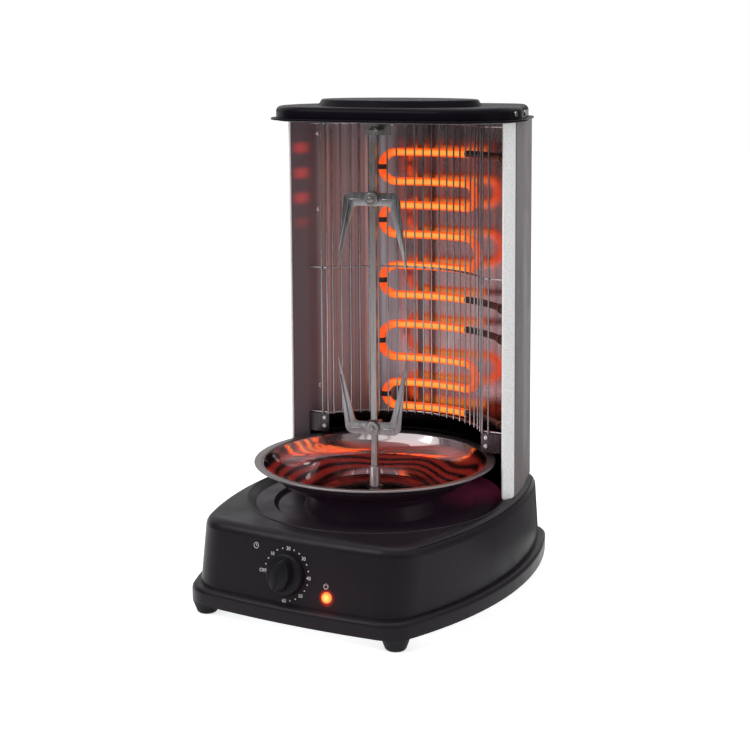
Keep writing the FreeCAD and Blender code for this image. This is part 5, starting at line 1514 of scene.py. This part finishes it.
# ------------------------------------------------------------------ cabinet
@dataclass
class EdgeStrip:
    """Light strip down a front edge of the cabinet, with a round bead and round lower corners."""

    shop: PaintShop
    side: float
    node: str
    front: Span = (113.2, 36.6)
    rear: Span = (119.3, 50.0)
    thickness: float = 2.0
    low_z: float = 83.9
    high_z: float = 430.0
    corner: float = 3.4
    bead: float = 0.8

    def build(self) -> None:
        """Builds one strip."""
        work = bmesh.new()
        start, end = Vector((*self.front, 0.0)), Vector((*self.rear, 0.0))
        inward = Vector((start.y - end.y, end.x - start.x, 0.0)).normalized()
        low, high = UP * self.low_z, UP * self.high_z
        made = [work.verts.new(point) for point in (start + low, end + low, end + high, start + high)]
        work.faces.new(made)
        round_corners(work, made[:2], self.corner, 8)
        thicken(work, work.faces[:][0], inward * self.thickness)
        border = [edge for edge in work.edges if edge.calc_face_angle(0.0) > 1.2
                  and min(vert.co.z for vert in edge.verts) < self.high_z - 1.0
                  and abs((edge.verts[0].co - edge.verts[1].co).normalized().dot(inward)) < 0.5]
        round_edges(work, border, self.bead, 4)
        if self.side < 0.0:
            bmesh.ops.scale(work, vec=(-1.0, 1.0, 1.0), verts=work.verts)
            bmesh.ops.reverse_faces(work, faces=work.faces)
        piece = self.shop.finish(self.node + "_bead", work, "housing", Paint.STRIP, 40.0)
        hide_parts(self.node)


# ------------------------------------------------------------------ studio
@dataclass
class Lamp:
    """One soft studio lamp."""

    name: str
    place: Point
    target: Point
    size: Span
    power: float


@dataclass
class GlowLight:
    """A small coloured light that stands for what a glowing piece casts near itself."""

    name: str
    place: Point
    radius: float
    power: float
    colour: Colour


@dataclass
class Card:
    """A curved card with a foot below it: its heading and half angle are in radians."""

    name: str
    near: float
    radius: float
    heading: float
    half_angle: float
    foot: float
    height: float
    tone: float


@dataclass
class Studio:
    """Pale floor, white surroundings, soft lamps and the cards that polished surfaces mirror."""

    floor_half: float = 6.0
    floor_colour: Colour = (0.86, 0.86, 0.86)
    floor_own_light: float = 0.66
    fill: float = 0.45
    card_steps: int = 24
    cards: Sequence[Card] = (
        Card("dark_card", 1.9, 2.0, -0.10, 1.45, 0.0, 1.5, 0.06),
        Card("side_card", 0.24, 2.2, 2.50, 0.55, 0.002, 1.2, 0.25),
        Card("rear_card", 5.4, 5.5, -2.57, 0.50, 0.45, 0.8, 0.05),
    )
    lamps: Sequence[Lamp] = (
        Lamp("key", (-1.1, -1.5, 1.7), (0.0, 0.0, 0.2), (1.2, 1.2), 26.0),
        Lamp("side", (1.9, -0.5, 1.1), (0.0, 0.0, 0.2), (0.9, 1.4), 5.0),
        Lamp("top", (0.0, 0.3, 2.0), (0.0, 0.0, 0.2), (1.4, 1.4), 16.0),
    )
    glows: Sequence[GlowLight] = (
        GlowLight("lamp_halo", (0.0356, -0.1580, 0.0365), 0.004, 0.006, (1.0, 0.05, 0.02)),
    )

    @staticmethod
    def sheet(name: str, work: BMesh, skin: Skin, colour: Colour,
              roughness: float) -> bpy.types.Object:
        """Makes a matt sheet that gives off white light of its own.

        Args:
            name: the sheet's name.
            work: its bmesh in metres; it is freed.
            skin: its material, whose own light is set by the caller.
            colour: its colour.
            roughness: its roughness.

        Returns:
            The sheet.
        """
        for key, value in (("Base Color", colour), ("Roughness", roughness), ("Specular IOR Level", 0.0),
                           ("Emission Color", WHITE)):
            skin.put(key, value)
        mesh = bpy.data.meshes.new(name)
        work.to_mesh(mesh)
        work.free()
        mesh.materials.append(skin.material)
        return add_object(name, mesh)

    def floor(self) -> None:
        """Lays the floor, which shows white and keeps the grill's shadow."""
        work = bmesh.new()
        bmesh.ops.create_grid(work, x_segments=1, y_segments=1, size=self.floor_half)
        skin = Skin("floor_paint")
        skin.put("Emission Strength", skin.product(skin.seen_rays(), self.floor_own_light))
        floor = self.sheet("floor", work, skin, self.floor_colour, 0.9)

    def card(self, plan: Card) -> None:
        """Stands a curved card round a part of the scene, which only polished surfaces mirror.

        Args:
            plan: the card's place, size and tone.
        """
        work = bmesh.new()
        turn = Matrix.Rotation(plan.heading - plan.half_angle, 4, "Z")
        start = turn @ Vector((0.0, -plan.radius, plan.foot))
        line = [work.verts.new(spot) for spot in (turn @ Vector((0.0, -plan.near, plan.foot)), start,
                                                  start + UP * plan.height)]
        sides = [work.edges.new(line[:2]), work.edges.new(line[1:])]
        bmesh.ops.spin(work, geom=line + sides, cent=(0, 0, 0), axis=UP, angle=2 * plan.half_angle,
                       steps=self.card_steps, use_merge=False)
        skin = Skin(plan.name + "_cloth")
        skin.put("Emission Strength", plan.tone)
        card = self.sheet(plan.name, work, skin, BLACK, 1.0)
        for rays in ("camera", "diffuse", "shadow", "transmission"):
            setattr(card, "visible_" + rays, False)

    def world(self) -> None:
        """Surrounds the scene with white that is seen and mirrored, and a softer fill."""
        world = bpy.data.worlds.new("studio_white")
        world.use_nodes = True
        bpy.context.scene.world = world
        tree = Tree(world.node_tree)
        background = world.node_tree.nodes["Background"]
        tree.feed(WHITE, background.inputs["Color"])
        extra = tree.product(tree.seen_rays(), 1.0 - self.fill)
        tree.feed(tree.math("ADD", extra, self.fill), background.inputs["Strength"])

    def light(self) -> None:
        """Hangs the soft lamps and the small glow lights."""
        for lamp in self.lamps:
            data = bpy.data.lights.new(lamp.name, "AREA")
            data.shape = "RECTANGLE"
            data.size, data.size_y = lamp.size
            data.energy = lamp.power
            item = add_object(lamp.name, data)
            item.location = lamp.place
            way = Vector(lamp.target) - Vector(lamp.place)
            item.rotation_euler = way.to_track_quat("-Z", "Y").to_euler()
        for glow in self.glows:
            data = bpy.data.lights.new(glow.name, "POINT")
            data.shadow_soft_size = glow.radius
            data.energy = glow.power
            data.color = glow.colour
            item = add_object(glow.name, data)
            item.location = glow.place
            item.visible_camera = False
            item.visible_glossy = False

    def build(self) -> None:
        """Sets up the surroundings, the lamps, the floor and the cards."""
        self.world()
        self.light()
        self.floor()
        for plan in self.cards:
            self.card(plan)


@dataclass
class Viewpoint:
    """The camera: where it stands, how it is turned and what its frame takes in."""

    place: Vector = field(default_factory=lambda: mm(682.41, -1233.93, 492.61))
    heading: float = 0.5042
    tilt: float = 0.1195
    roll: float = -0.0061
    focal_px: float = 1553.94
    centre_y_px: float = 239.77
    frame_px: float = 750.0
    sensor_mm: float = 36.0
    clip_start: float = 0.05

    def stand(self) -> None:
        """Sets the camera up and makes it the scene's."""
        data = bpy.data.cameras.new("viewpoint")
        data.sensor_width = self.sensor_mm
        data.lens = self.focal_px * self.sensor_mm / self.frame_px
        data.shift_y = (self.centre_y_px - self.frame_px / 2) / self.frame_px
        data.clip_start = self.clip_start
        right = Vector((math.cos(self.heading), math.sin(self.heading), 0.0))
        ahead = UP.cross(right) * math.cos(self.tilt) - UP * math.sin(self.tilt)
        above = right.cross(ahead)
        side = right * math.cos(self.roll) + above * math.sin(self.roll)
        top = above * math.cos(self.roll) - right * math.sin(self.roll)
        camera = add_object("viewpoint", data)
        turn = Matrix((side, top, -ahead)).transposed().to_4x4()
        camera.matrix_world = Matrix.Translation(self.place) @ turn
        bpy.context.scene.camera = camera


def corners(bounds: Sequence[Sequence[float]]) -> list[list[float]]:
    """The two corners of a box as plain lists of numbers."""
    return [[float(value) for value in corner] for corner in bounds]


def main() -> None:
    """Loads the frame, dresses it, builds each sub-assembly and sets up the studio."""
    logging.basicConfig(level=logging.INFO, format="%(name)s: %(message)s")
    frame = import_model()
    bpy.context.scene.view_settings.view_transform = "Standard"
    shop = PaintShop()
    Viewpoint().stand()
    Studio().build()
    shop.dress_frame(frame["nodes"])
    MouldedBase(shop, frame["nodes"]["base_shell"]).build()
    wall = FrontFace()
    ControlPanel(shop, wall).build()
    TimerKnob(shop, wall).build()
    DripTray(shop).build()
    SkewerFork(shop, "upper_fork_stamping", "upper_fork", 361.0, True).build()
    SkewerFork(shop, "lower_fork_stamping", "lower_fork", 148.8, False).build()
    EdgeStrip(shop, -1.0, "edge_strip_left").build()
    EdgeStrip(shop, 1.0, "edge_strip_right").build()


if __name__ == "__main__":
    main()
